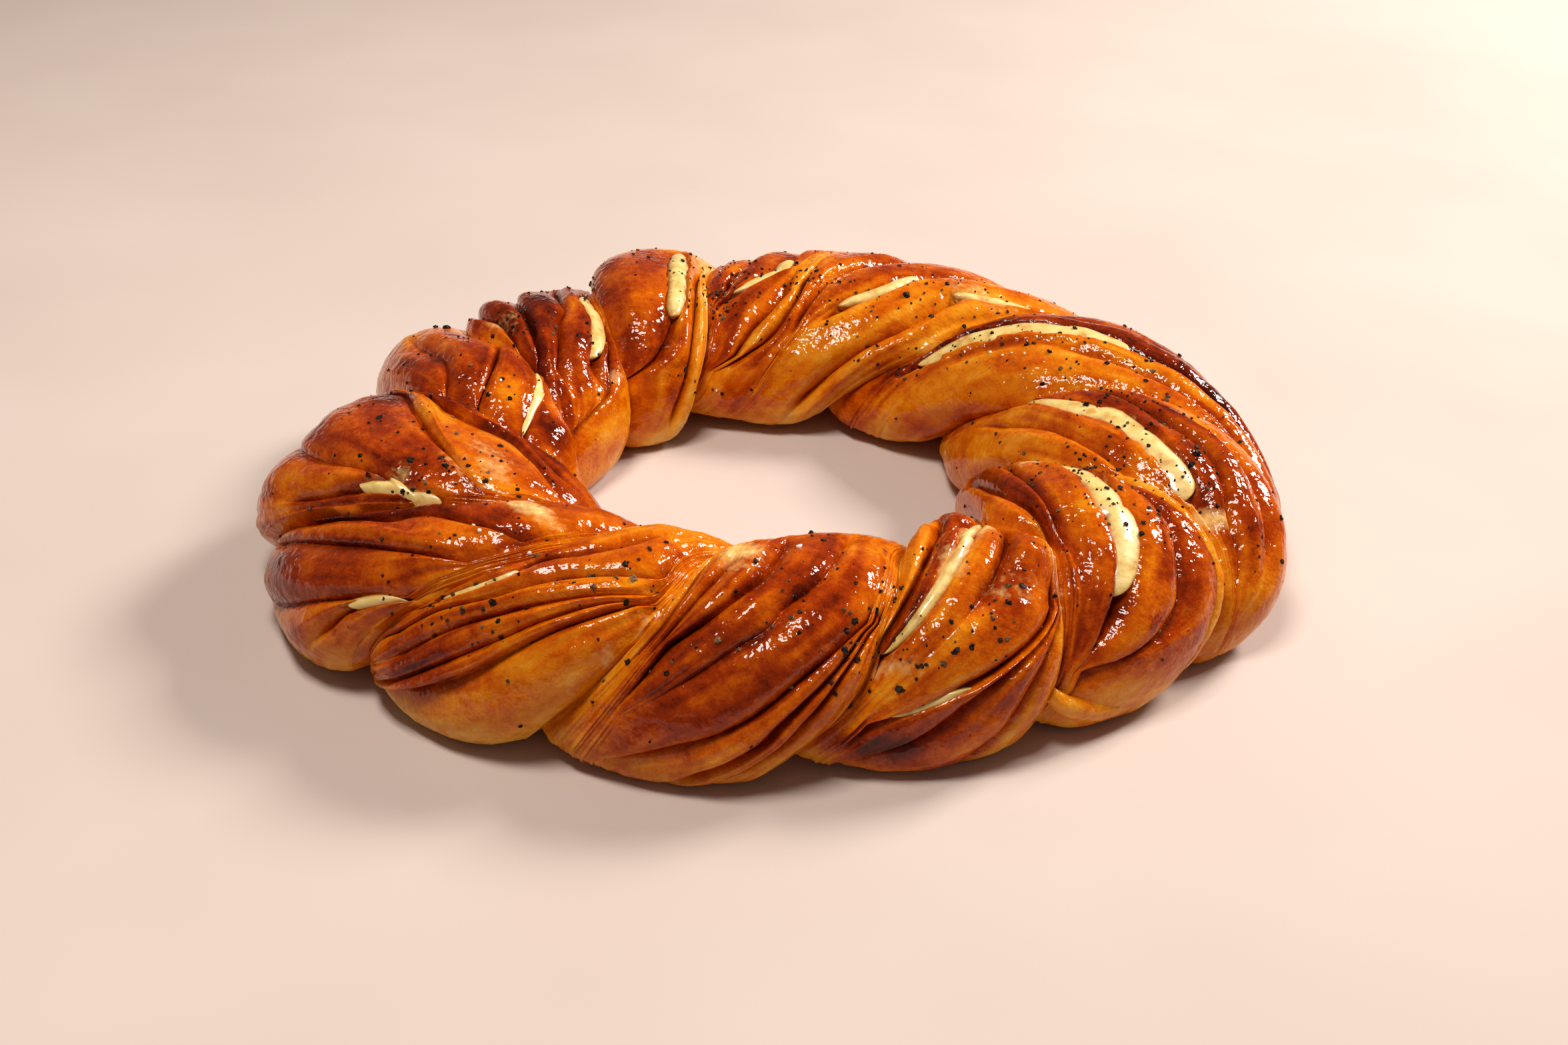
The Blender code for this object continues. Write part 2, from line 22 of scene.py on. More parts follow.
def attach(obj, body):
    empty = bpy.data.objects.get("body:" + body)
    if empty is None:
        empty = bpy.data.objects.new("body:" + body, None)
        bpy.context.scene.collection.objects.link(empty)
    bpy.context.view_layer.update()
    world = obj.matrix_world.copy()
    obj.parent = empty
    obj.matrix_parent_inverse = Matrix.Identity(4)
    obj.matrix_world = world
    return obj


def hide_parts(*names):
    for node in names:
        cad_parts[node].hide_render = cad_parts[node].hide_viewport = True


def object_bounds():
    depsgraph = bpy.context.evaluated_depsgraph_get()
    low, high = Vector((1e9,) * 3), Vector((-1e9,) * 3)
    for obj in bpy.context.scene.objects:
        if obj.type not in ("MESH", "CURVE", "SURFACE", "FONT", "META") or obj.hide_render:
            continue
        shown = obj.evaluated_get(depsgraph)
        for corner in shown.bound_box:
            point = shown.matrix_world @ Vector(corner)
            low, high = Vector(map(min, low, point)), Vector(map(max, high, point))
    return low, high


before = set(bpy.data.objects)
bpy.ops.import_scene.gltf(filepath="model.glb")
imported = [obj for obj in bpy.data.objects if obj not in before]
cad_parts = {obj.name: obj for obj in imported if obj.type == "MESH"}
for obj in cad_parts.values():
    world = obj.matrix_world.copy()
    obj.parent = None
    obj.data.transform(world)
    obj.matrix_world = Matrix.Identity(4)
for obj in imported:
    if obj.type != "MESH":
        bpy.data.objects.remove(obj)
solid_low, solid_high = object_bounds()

MM = 0.001
print("solids:", [round((b - a) / MM, 1) for a, b in zip(solid_low, solid_high)], "mm")

# %% [markdown]
# ## Two angles for a place on the ring
#
# A ring of dough is easier to describe with angles than with x, y and z. The azimuth runs round
# the ring, anticlockwise from +X. The section angle psi runs over the ring, from 213 degrees under
# the inner wall, over 90 at the crest, to -33 under the outer wall. The ring isn't round: its
# outer radius, inner radius and height are read every 20 degrees, and a smooth closed curve joins
# them. All sizes here are millimetres until a mesh is made.

# %% The ring's envelope
OUTER = (142, 137, 128, 122, 118, 119, 122, 115, 130, 128, 152, 152, 144, 138, 135, 137, 141, 150)
INNER = (54, 50, 45, 40, 39, 39, 43, 47, 50, 55, 61, 67, 71, 71, 72, 70, 62, 57)
CREST = (45, 44.5, 43, 42.5, 42, 41.5, 41, 42, 45, 46, 45, 45.5, 46, 46.5, 46.5, 46.5, 46, 45)
CORE_Z = 14.0
SHIFT = np.array((-1.0, 10.0, 0.0))  # puts the middle of the bounding box on the origin
print("sizes given every", 360 // len(OUTER), "degrees")

# %% Curves


def smooth(x, low, high):
    """0 below low and 1 above high, with a smooth step between."""
    u = np.clip((x - low) / (high - low), 0.0, 1.0)
    return u * u * (3.0 - 2.0 * u)


def through(psi, stations, values, beyond=0.0):
    """Values at psi on a smooth curve through the stations, which fall, and straight on beyond."""
    x = -np.asarray(stations, float)
    y = np.asarray(values, float)
    slope = np.gradient(y, x)
    wanted = -np.asarray(psi, float)
    p = np.clip(wanted, x[0], x[-1])
    straight = beyond * np.where(wanted < p, slope[0], slope[-1]) * (wanted - p)
    i = np.clip(np.searchsorted(x, p) - 1, 0, len(x) - 2)
    h = x[i + 1] - x[i]
    u = (p - x[i]) / h
    a = (1 + 2 * u) * (1 - u) ** 2 * y[i] + u * (1 - u) ** 2 * h * slope[i]
    return straight + a + u * u * (3 - 2 * u) * y[i + 1] + u * u * (u - 1) * h * slope[i + 1]


def around(values, azimuth):
    """Values at azimuths on a smooth closed curve through a table round the ring."""
    table = np.asarray(values, float)
    count = len(table)
    x = np.mod(azimuth, 360.0) / 360.0 * count
    i = np.floor(x).astype(int)
    u = x - i
    p0, p1, p2, p3 = (table[(i + k) % count] for k in (-1, 0, 1, 2))
    bend = 2 * p0 - 5 * p1 + 4 * p2 - p3 + u * (3 * (p1 - p2) + p3 - p0)
    return p1 + u * (p2 - p0 + u * bend) / 2


print("outer radius at 45 degrees:", round(float(around(OUTER, 45.0)), 1))

# %% The ring's surface


def envelope(azimuth, psi, depth=0.0):
    """Points at a depth below the ring's envelope."""
    azimuth, psi, depth = np.broadcast_arrays(azimuth, psi, depth)
    inner, outer = around(INNER, azimuth), around(OUTER, azimuth)
    a, p = np.radians(azimuth), np.radians(psi)
    r = (inner + outer) / 2 + ((outer - inner) / 2 - depth) * np.cos(p)
    z = CORE_Z + (around(CREST, azimuth) - CORE_Z - depth) * np.sin(p)
    return np.stack([r * np.cos(a), r * np.sin(a), z], -1) + SHIFT


print("crest at the front:", envelope(-90.0, 90.0).round(1))

# %% [markdown]
# ## Twelve lobes and their plies
#
# Each lobe starts low inside the ring, runs over the crest and ends low outside, further
# clockwise. The seams between the lobes are drawn as azimuths at eight section angles. Between two
# seams the plies of the rolled dough meet in creases. A crease is a row of points too, with its
# depth. These are the lines that a baker would see, and a reader can move one and watch the ring
# change, which a sculpted mesh wouldn't allow.

# %% Seams and creases
STATIONS = (205, 170, 140, 110, 80, 50, 20, -24)
ENDS = (213, -33)  # psi where a lobe starts and ends, just under the floor
SEAMS = (  # azimuth of the seam after each lobe, at the stations
    (133, 124.5, 116, 111, 107.5, 103, 99, 95),
    (77, 60, 45, 40.5, 33.5, 27, 22, 16),
    (33, 17.5, 4.5, 1.5, -2, -9.5, -20, -27),
    (-3, -17, -24.5, -29, -30, -30.5, -33.5, -42),
    (-20, -36, -48, -54.5, -51.5, -55, -57.5, -62),
    (-47, -57, -64, -71, -74.5, -78.3, -81.5, -91),
    (-68, -80, -91, -100, -102.3, -105.3, -109.5, -117),
    (-90, -99, -110, -118, -123, -129.3, -134, -138),
    (-110, -120, -128.5, -133, -142.5, -151, -157, -164),
    (-138, -147, -157, -167.5, -173.5, -180, -186, -194),
    (-160, -169, -180.5, -191.5, -196, -205.5, -215, -222),
    (-203, -209, -214, -220, -226, -232, -237, -242),
)
# Creases of each lobe, from the side of the next: depth, then psi with azimuth at points along it,
# and where it ends if its line goes on to keep the order
CREASES = (
    ((4, (183, 120, 95), (137, 116, 111)),
     (4, (155, 149, 141, 120, 90, 72), (148, 140, 133, 122.5, 114.2, 111.5))),
    ((3.4, (180, 147, 124, 100, 92, 84, 30), (79, 61, 51, 48, 47, 42, 27)),
     (3.4, (124, 103, 94, 60, 20), (73, 62, 60, 50, 43)),
     (3.2, (131, 88, 60, 20), (84, 75, 66, 58)),
     (3.6, (152, 146, 122, 102), (104, 98, 87, 84)),
     (3.2, (153, 133, 124, 104), (107.5, 99, 94, 86)),
     (4, (107, 92, 78, 60, 30), (103, 89.5, 78, 72, 68)),
     (2.6, (106, 98, 90, 80, 10), (107, 104, 103, 100, 88))),
    ((2.6, (96, 76, 62, 20), (11, 4.5, 1, -13)),
     (5.2, (147, 104, 81, 50, 20), (39, 24, 13, 4, -5)),
     (2.8, (112, 100, 60, 30), (35, 31.5, 15, 7))),
    ((2, (148, 137, 128, 98, 86), (-5, -12, -16, -26, -28.5)),
     (5.2, (136, 129, 124, 102, 62, 50), (1, -1, -5, -15, -27.3, -28.6)),
     (3.2, (100, 80, 71, 44.5, 20), (-4, -13.7, -16.3, -26.8, -31)),
     (1.6, (62, 38, 25), (-14, -22.5, -26))),
    ((3.2, (150, 130, 84), (-37, -44.5, -50.3)),
     (2.8, (134, 125, 88, 78), (-33, -37.5, -48, -49.3)),
     (5.2, (114, 104, 95, 52, 30), (-30, -34, -36, -46, -51.5)),
     (3.2, (88, 58, 37, 22, 16, 13, 11.5), (-32, -35.3, -40, -43.3, -46.5, -51, -56.5))),
    ((4, (130, 80, 50), (-60, -72, -77.5)),
     (4, (103, 95, 86, 40), (-58, -62, -65, -77.8)),
     (4, (94, 64, 20, 0), (-55.5, -64, -78, -82), 58),
     (2.8, (52, 40, 4), (-55.5, -59, -81)),
     (3.2, (42, 12.7, 5.5, -18), (-57.5, -69.5, -71.4, -83)),
     (2.8, (40, 18, -9, -18), (-57, -61.8, -66.4, -68.5))),
    ((2, (92, 52, 44), (-100, -103, -104.2)),
     (2.4, (90, 75, 47), (-96.5, -98.5, -102.3)),
     (3.2, (104, 80, 28), (-89.5, -92, -107)),
     (2, (114, 71, 63, 54, 45, 30), (-79, -86.4, -89, -90.7, -94, -99)),
     (2.4, (56, 32, 8, -6), (-79.5, -86.8, -95, -103)),
     (2.8, (53, 33.6, 10, 4.5, -14), (-79.8, -83.6, -89.5, -90.5, -97)),
     (2.8, (57, 15.5, -4.5, -18), (-79, -86, -90.5, -95.5))),
    ((2.6, (99, 86, 74, 67, 45), (-110, -114.5, -120.5, -121.5, -128.3)),
     (2, (84, 78, 70, 64, 50, 44, 20), (-102, -106, -114, -117, -123, -126, -132)),
     (2, (76, 72, 64, 40, 14), (-102, -103.5, -110, -122.5, -129.5)),
     (2, (71, 66, 62, 50, 34, -6), (-102.5, -104.5, -108, -114, -119.3, -131.5)),
     (2.8, (60, 50, 10, -12), (-107.5, -111.5, -123.5, -132))),
    ((4, (84, 79.5, 76, 63.5, 52, 30), (-124, -134, -137.6, -142.4, -148, -155)),
     (2.6, (64, 56, 45, 28, 15), (-128.5, -136, -143, -151, -155)),
     (2.6, (36, 28, -8), (-134, -137.5, -150)),
     (2.6, (42, 28, 8), (-131, -135.8, -139))),
    ((3.2, (140, 132, 122, 86), (-144, -154, -157.6, -171.5)),
     (2.8, (129, 126, 121, 114, 88), (-142, -149, -154, -158, -170)),
     (2.6, (100, 98.5, 96, 88, 80, 55), (-135.5, -146, -154, -164.5, -169.5, -177.5)),
     (2.4, (76, 72, 57, 30), (-147, -150.3, -157.6, -170)),
     (3.2, (92, 71, 45), (-139.5, -147.5, -154))),
    ((3.4, (138, 134.5, 132.5, 129, 121, 116), (-160, -166, -172, -178, -186.5, -188.5)),
     (2.6, (112, 103.5, 101.5, 99), (-166.5, -181.5, -186, -190)),
     (2, (92, 84, 56), (-172, -178, -190))),
    ((5.2, (159, 156.5, 148, 142, 135.5, 129, 120), (-184, -192, -201.5, -205, -209.7, -212, -215.5)),
     (4, (140, 136, 132, 127, 106, 92, 60), (-200, -202.3, -206, -209, -217.5, -220, -228)),
     (3.2, (134, 129, 126, 107, 100, 84, 55), (-190, -192, -195, -207, -211, -215.5, -222)),
     (3.2, (126, 122, 118.7, 112, 64, 45), (-187.5, -189, -192, -196, -212, -216)),
     (4, (127, 98.7, 91.3, 80.8, 50), (-185.5, -196.6, -199.2, -200.8, -207))),
)
print(len(SEAMS), "lobes,", sum(len(c) for c in CREASES), "creases")

# %% [markdown]
# ## The form of a lobe
#
# Across, a lobe is a fat, slightly squared oval. Its neighbours cut into it, so only the part
# between the seams shows. Baking swells some lobes more than others, which a small lift for each
# one gives.

# %% Sizes of a lobe
DEEP = 15.0  # from the envelope to the middle of a lobe
UNDER = 5.0  # how far a lobe goes on below its middle
TILT = 3.0  # how far a lobe's sides dip under its neighbours
CORE_DEEP = 10.0
FULL = 0.93  # seam distance over lobe width
SQUARE = 0.85  # fuller than an ellipse below 1
TOE = 0.07  # share of the length that rounds off at each end
RIDGE = 0.58  # where between two creases a ply is highest
LIFTS = (4.5, 2.0, 1.5, 2.0, 2.0, 1.0, 2.0, 1.0, 1.0, 3.0, 1.0, 2.0)  # extra height of each lobe
# Bumps and dents: lobe, psi, azimuth, reach along and across in degrees, depth below the crust
DENTS = ((6, 108, -60.5, 6, 2.5, 5), (6, 74, -56, 10, 5, -3), (11, 150, -165, 10, 5, -3))
print("lobe 1 stands", LIFTS[0], "mm over the ring")

# %% [markdown]
# ### A place on a lobe
#
# The angle theta goes round a lobe: from the seam after it over the top to the seam before it, and
# back underneath. With psi, theta and a depth below the skin, one function gives any point of it.

# %% Seams and places


def seams(lobe, psi):
    """Azimuth of the seams before and after a lobe, numbered from 1."""
    before = through(psi, STATIONS, SEAMS[lobe - 2])
    return before + 360.0 * (lobe == 1), through(psi, STATIONS, SEAMS[lobe - 1])


def section(lobe, psi):
    """Azimuth of a lobe's middle, half its span and the rounding of its ends, along psi."""
    before, after = seams(lobe, psi)
    t = (ENDS[0] - psi) / (ENDS[0] - ENDS[1])
    ends = np.clip(np.minimum(t, 1 - t) / TOE, 0.0, 1.0)
    round_off = np.sqrt(np.clip(1 - (1 - ends) ** 2, 0.02, 1.0))
    return (before + after) / 2, (before - after) / 2 / FULL, round_off


def squared(x):
    """A sine or cosine that makes an oval fuller."""
    return np.sign(x) * np.abs(x) ** SQUARE


def azimuth_at(lobe, psi, theta):
    """Azimuth of a section angle of a lobe."""
    middle, half, _ = section(lobe, psi)
    return middle - half * squared(np.cos(theta))


def place(lobe, psi, theta, sink):
    """Points of a lobe at psi and section angle theta, sink below its smooth outline."""
    middle, half, ends = section(lobe, psi)
    across = squared(np.cos(theta)) * ends
    up = squared(np.sin(theta)) * ends
    above = np.where(up > 0, DEEP, UNDER) * up
    tilt = TILT * across * (90 - psi) / 90
    depth = DEEP - LIFTS[lobe - 1] - above + tilt + sink
    return envelope(middle - half * across, psi, depth)


def turn_at(share):
    """Section angle at a share of the way from the seam after a lobe to the one before."""
    across = (1 - 2 * np.clip(share, 0.03, 0.97)) * FULL
    return np.arccos(np.sign(across) * np.abs(across) ** (1 / SQUARE))


print("half the width of lobe 1 at the crest:", round(float(section(1, 90.0)[1]), 1), "degrees")

# %% [markdown]
# ### Creases and ridges
#
# A crease fades in where its ply comes up and out where it tucks under. Between two creases a ply
# is a ridge, highest a little past its middle. The solid's ridge is low. The fine crust has a round
# one with a narrow crease, which catches the light as rolled dough does.

# %% Crease lines
NARROWEST = 0.10  # least section angle between two creases, in radians


def crease_lines(lobe, psi):
    """Section angle and depth of each crease of a lobe along psi, from the side of the next."""
    before, after = seams(lobe, psi)
    first = math.acos(FULL ** (1 / SQUARE))
    last = math.pi - first
    lines = [(np.full_like(psi, first), np.zeros_like(psi))]
    for depth, stations, azimuths, *stop in CREASES[lobe - 1]:
        azimuth = through(psi, stations, azimuths, 1.0)
        end = stop[0] if stop else stations[-1]
        inside = smooth(psi, end - 14, end + 4) * (1 - smooth(psi, stations[0] - 4, stations[0] + 14))
        lines.append((turn_at((azimuth - after) / (before - after)), depth * inside))
    lines.append((np.full_like(psi, last), np.zeros_like(psi)))
    count = len(lines) - 1
    for i in range(1, count):
        low = lines[i - 1][0] + NARROWEST
        high = last - NARROWEST * (count - i)
        lines[i] = (np.clip(lines[i][0], low, high), lines[i][1])
    return lines


print("crease lines of lobe 7:", len(crease_lines(7, np.array([90.0]))))

# %% Ridges and dents
ROUND = 0.97  # how far down its sides a round ridge goes, 1 for a half circle
LOW = 0.243  # height of a half circle there


def ply_profile(u):
    """0 at both creases and 1 at the ridge."""
    side = np.where(u < RIDGE, (RIDGE - u) / RIDGE, (u - RIDGE) / (1 - RIDGE))
    return 1 - side**2.2


def rolled(u):
    """A fuller ridge than ply_profile, round like a rolled ply, with a narrow crease."""
    side = np.where(u < RIDGE, (RIDGE - u) / RIDGE, (u - RIDGE) / (1 - RIDGE))
    return (np.sqrt(1 - (ROUND * side) ** 2) - LOW) / (1 - LOW)


def spots_at(table, lobe, psi, azimuth):
    """The sum of a table's soft spots at points of a lobe."""
    total = np.zeros_like(azimuth)
    for where, p, a, along, across, amount in table:
        if where == lobe:
            total += amount * np.exp(-(((psi - p) / along) ** 2) - ((azimuth - a) / across) ** 2)
    return total


print("a ply's height at its quarters:", rolled(np.array([0.25, 0.5, 0.75])).round(2))

# %% [markdown]
# ## Unevenness that repeats exactly
#
# Dough is never smooth. Noise from a hash of whole numbers gives the same lumps and wrinkles on
# every run, and numpy works it out for a whole lobe at once. Stretching the coordinates along the
# ply turns round lumps into the fine wrinkles of pulled dough skin.

# %% Noise


def lattice(i, j, k, seed):
    """A fixed value from -1 to 1 for every lattice point."""
    h = (i * 374761393 + j * 668265263 + k * 2147483647 + seed * 1442695041) & 0xFFFFFFFF
    h = ((h ^ (h >> 13)) * 1274126177) & 0xFFFFFFFF
    return (h ^ (h >> 16)) / 2.0**31 - 1.0


def noise(x, y, z, seed):
    """Smooth noise between the lattice points."""
    cell = [np.floor(v).astype(np.int64) for v in (x, y, z)]
    mix = [smooth(v - c, 0.0, 1.0) for v, c in zip((x, y, z), cell)]
    total = 0.0
    for corner in range(8):
        step = [(corner >> n) & 1 for n in range(3)]
        weight = 1.0
        for s, m in zip(step, mix):
            weight = weight * (m if s else 1 - m)
        total = total + weight * lattice(*(c + s for c, s in zip(cell, step)), seed)
    return total


def lumps(spots, size, seed):
    """Noise over points in space, with lumps about one size apart."""
    x, y, z = (spots[..., n] / size for n in range(3))
    return noise(x, y, z, seed)


print("noise sample:", round(float(noise(np.array(0.4), np.array(1.7), np.array(2.2), 1)), 3))

# %% [markdown]
# ## Where the custard shows
#
# The custard lies in some of the creases. On the real ring the ply has torn or pulled away there,
# so a strip of filling shows between two raised lips. The crust gets a trough along the crease,
# and the strip, a piece of its own, is bedded in it.

# %% The filling's places
FILLINGS = (  # lobe, crease, psi where the strip starts and ends, half its width
    (1, 1, 127, 66, 3.2), (2, 5, 106, 80, 2.8), (2, 1, 121, 88, 2.4), (2, 0, 93, 72, 2.6),
    (3, 1, 146, 76, 4.8), (4, 1, 131, 61, 4.2), (5, 2, 111, 40, 4.0), (6, 1, 101, 40, 1.8),
    (6, 3, 20, 9, 1.8), (8, 0, 68, 46, 1.6), (9, 3, 39, 26, 1.7), (10, 4, 87, 66, 2.6),
    (11, 0, 136, 123, 2.6), (12, 1, 137, 78, 3.2),
)
SWELLING = {5: 0.14, 6: 0.30, 7: 0.18}  # how much a strip widens towards its outer end
print(len(FILLINGS), "strips of custard")

# %% [markdown]
# ### Torn troughs
#
# The two edges of a trough are torn, each with a noise of its own, which hides the even edge of
# the strip. The dough beside it stands up as a lip, paler because it was inside until it tore.

# %% Troughs
RAGGED = 0.34  # how uneven the torn edges of a trough are
TROUGH = 4.8  # depth of a trough
LIP = 0.5  # height of its lips
BEYOND = 1.5  # how far a trough goes past the ends of its strip, in degrees
STEP = 0.02  # a small section angle that turns angles into millimetres


def strip_half(t, half):
    """Half width of a strip along its length, t from -1 to 1."""
    return half * np.sqrt(np.clip(1 - (np.abs(t) * 0.97) ** 2.2, 0, 1))


def strip_edges(lobe, psi, theta):
    """Depth of the troughs, height of their lips, and how near a strip's rim is."""
    trough, lip, rim = np.zeros((3, *theta.shape))
    for number, (where, crease, start, end, half) in enumerate(FILLINGS, 1):
        if where != lobe:
            continue
        middle, reach = (start + end) / 2, (start - end) / 2 + BEYOND
        line = crease_lines(lobe, psi[:, 0])[crease + 1][0][:, None]
        beside = place(lobe, psi, line + STEP, 0.0) - place(lobe, psi, line, 0.0)
        away = np.abs(theta - line) * np.linalg.norm(beside, axis=-1) / STEP
        t = np.arcsin(np.clip((middle - psi) / reach, -1, 1)) * 2 / math.pi
        torn = noise(psi / 4.0, 3.0 * (theta > line), 0 * psi, 57 + number)
        wide = strip_half(t, half) * (0.98 + RAGGED * torn + SWELLING.get(number, 0.0) * t)
        along = (np.abs(psi - middle) < reach) * 1.0
        raised = smooth(away, wide, wide + 0.9) * (1 - smooth(away, wide + 1.2, wide + 3.5))
        trough = np.maximum(trough, along * (1 - smooth(away, wide - 0.7, wide + 0.4)))
        lip = np.maximum(lip, raised * along)
        rim = np.maximum(rim, (1 - smooth(away, wide + 0.2, wide + 2.0)) * along)
    return TROUGH * trough, LIP * lip, rim


print("deepest trough:", TROUGH, "mm")

# %% [markdown]
# ## How brown the crust is
#
# Browning follows the relief. Ridges stick out of the dough and brown first, a ply that came up
# late stays pale, and the foot near the tray is orange. So every ply has its own tone, from 0 for
# pale dough to 1 for nearly black, and a few spots are scorched or bare. The tone is stored on the
# vertices. That keeps it on the right ply, which a texture in space couldn't.

# %% Tones and spots
TONES = (  # of each ply, from the side of the next lobe
    (0.20, 0.42, 0.60),
    (0.35, 0.36, 0.50, 0.54, 0.38, 0.56, 0.58, 0.56),
    (0.46, 0.44, 0.72, 0.62),
    (0.40, 0.45, 0.60, 0.55, 0.52),
    (0.45, 0.70, 0.55, 0.50, 0.55),
    (0.28, 0.60, 0.44, 0.46, 0.54, 0.52, 0.33),
    (0.30, 0.48, 0.54, 0.60, 0.56, 0.50, 0.50, 0.38),
    (0.44, 0.46, 0.45, 0.52, 0.47, 0.37),
    (0.68, 0.56, 0.60, 0.46, 0.48),
    (0.62, 0.68, 0.44, 0.62, 0.55, 0.60),
    (0.58, 0.52, 0.56, 0.58),
    (0.48, 0.60, 0.62, 0.68, 0.66, 0.54),
)
TONE_SPOTS = (  # lobe, psi, azimuth, reach in psi and azimuth, amount
    (6, -6, -80, 7, 6, 0.28), (6, -16, -74, 5, 8, 0.14), (7, 60, -88, 20, 4, 0.06),
    (8, 20, -128, 18, 6, 0.15), (8, -15, -120, 10, 20, -0.12), (2, 188, 112, 14, 14, 0.12),
    (11, 150, -165, 12, 6, 0.2), (4, 180, -5, 25, 20, 0.12), (7, 0, -112, 14, 6, 0.14),
    (12, 172, -190, 12, 8, -0.1), (2, 150, 70, 26, 14, -0.1),
)
PALE_SPOTS = (  # where the crust is torn or was covered, in the same order
    (7, 97, -95, 14, 3.2, 0.85), (6, 98, -60, 8, 3, 0.8), (6, 80, -67.5, 12, 2, 0.6),
    (6, 60, -62, 14, 4, 0.35), (6, 32, -77, 8, 4, 0.5), (8, 52, -104.8, 10, 0.8, 0.6),
    (8, 36, -107.6, 12, 0.8, 0.5), (8, 20, -110.5, 12, 0.8, 0.4), (9, 101, -128, 6, 6, 0.9),
    (10, 110, -143, 8, 7, 0.55), (10, 97, -143, 4, 7, 0.4), (10, 80, -146, 7, 3, 0.45),
    (5, 120, -33, 10, 4, 0.5), (1, 112, 111, 8, 4, 0.7), (12, 150, -203, 6, 5, 0.6),
    (12, 90, -199, 14, 4, 0.4), (11, 152, -178, 6, 6, 0.5), (2, 85, 44, 8, 10, 0.5),
    (4, 49, -28.5, 9, 1.5, 0.8),
)
print(sum(len(t) for t in TONES), "plies,", len(PALE_SPOTS), "pale spots")

# %% [markdown]
# ## Building one lobe
#
# The lobe is a closed grid: rows along psi, columns round the section. Columns crowd at the
# creases, where the surface turns fastest. First the smooth outline gives positions for the noise,
# then every point sinks by its crease, wrinkles and troughs at once.

# %% Columns of a lobe
ROWS = 210
PLY_COLUMNS = 18
UNDER_COLUMNS = 14
GROOVES = 1.3  # how much deeper the finely modelled creases are than the solid's
PLY_WIDE = 8.0  # millimetres across a ply, near enough for its noise
SHARP, SOFT = 0.16, 0.7  # share of a ply over which its tone changes, at a deep crease and beyond


def tone_across(tones, number, share, depth_a, depth_b):
    """Tone across a ply, which runs into its neighbour's where the crease between them is low."""
    fade_a = SHARP + SOFT * (1 - smooth(depth_a, 0.0, 1.5))[:, None] * (number > 0)
    fade_b = SHARP + SOFT * (1 - smooth(depth_b, 0.0, 1.5))[:, None] * (number < len(tones) - 1)
    before = tones[max(number - 1, 0)] - tones[number]
    after = tones[min(number + 1, len(tones) - 1)] - tones[number]
    tone = tones[number] + before / 2 * (1 - smooth(share, 0.0, fade_a))
    return tone + after / 2 * smooth(share, 1 - fade_b, 1.0)


def columns_of(lobe, psi):
    """Section angle, crease depth, tone, ridge height and place across, over the lobe's columns."""
    lines = crease_lines(lobe, psi)
    share = (1 - np.cos(np.linspace(0, math.pi, PLY_COLUMNS + 1)[:-1])) / 2
    height = rolled(share)
    theta, sink, tone, ridge, across = [], [], [], [], []
    for number, ((ta, da), (tb, db)) in enumerate(zip(lines[:-1], lines[1:])):
        depth = da[:, None] * (1 - share) + db[:, None] * share
        theta.append(ta[:, None] + (tb - ta)[:, None] * share)
        sink.append(depth * (1 - height) * GROOVES)
        tone.append(tone_across(TONES[lobe - 1], number, share, da, db))
        ridge.append(height * smooth(np.maximum(da, db), 0.0, 2.0)[:, None])
        across.append((number + share) * PLY_WIDE + 0 * ta[:, None])
    first = lines[0][0][0]
    below = np.linspace(math.pi - first, 2 * math.pi + first, UNDER_COLUMNS + 1)[:-1]
    blank = np.zeros((len(psi), UNDER_COLUMNS))
    for column, value in ((theta, below), (sink, 0.0), (tone, 0.5), (ridge, 0.0), (across, 0.0)):
        column.append(blank + value)
    return [np.concatenate(column, 1) for column in (theta, sink, tone, ridge, across)]


print("columns round lobe 7:", columns_of(7, np.array([90.0]))[0].shape[1])

# %% Unevenness of a lobe
WRINKLES = (0.30, 0.34, 0.27, 0.27, 0.24, 0.28, 0.30, 0.40, 0.34, 0.36, 0.32, 0.32)  # of each lobe
ALONG = 0.65  # stretches the noise along a ply


def wrinkles(lobe, across, psi):
    """Depth of the fine wrinkles that run along the plies."""
    along = psi * ALONG
    fine = noise(across, along / 9.0, 0 * psi, 10 + lobe) * 0.6
    folds = np.abs(noise(across / 2.4, along / 20.0, 0 * psi, 30 + lobe)) * 2.4
    return (fine - folds + 1.0) * WRINKLES[lobe - 1]


def streaks(lobe, across, psi):
    """Streaks of browning along the plies, about 0."""
    along = psi * ALONG
    wide = noise(across / 1.3, along / 16.0, 0 * psi, 60 + lobe)
    return wide + 0.6 * noise(across / 0.6, along / 7.0, 0 * psi, 80 + lobe)


def swelling(outline):
    """Slow lumps of the whole lobe."""
    slow = 0.55 * lumps(outline, 15.0, 3) + 0.28 * lumps(outline, 6.0, 5)
    return slow + 0.10 * lumps(outline, 2.2, 7)


print("wrinkles of lobe 8:", WRINKLES[7], "mm")

# %% Lobe grid
SETTLED = 0.85  # sinks the crust a little, so that its bumps stay inside the solid's box
FLOOR_GAP = 0.15


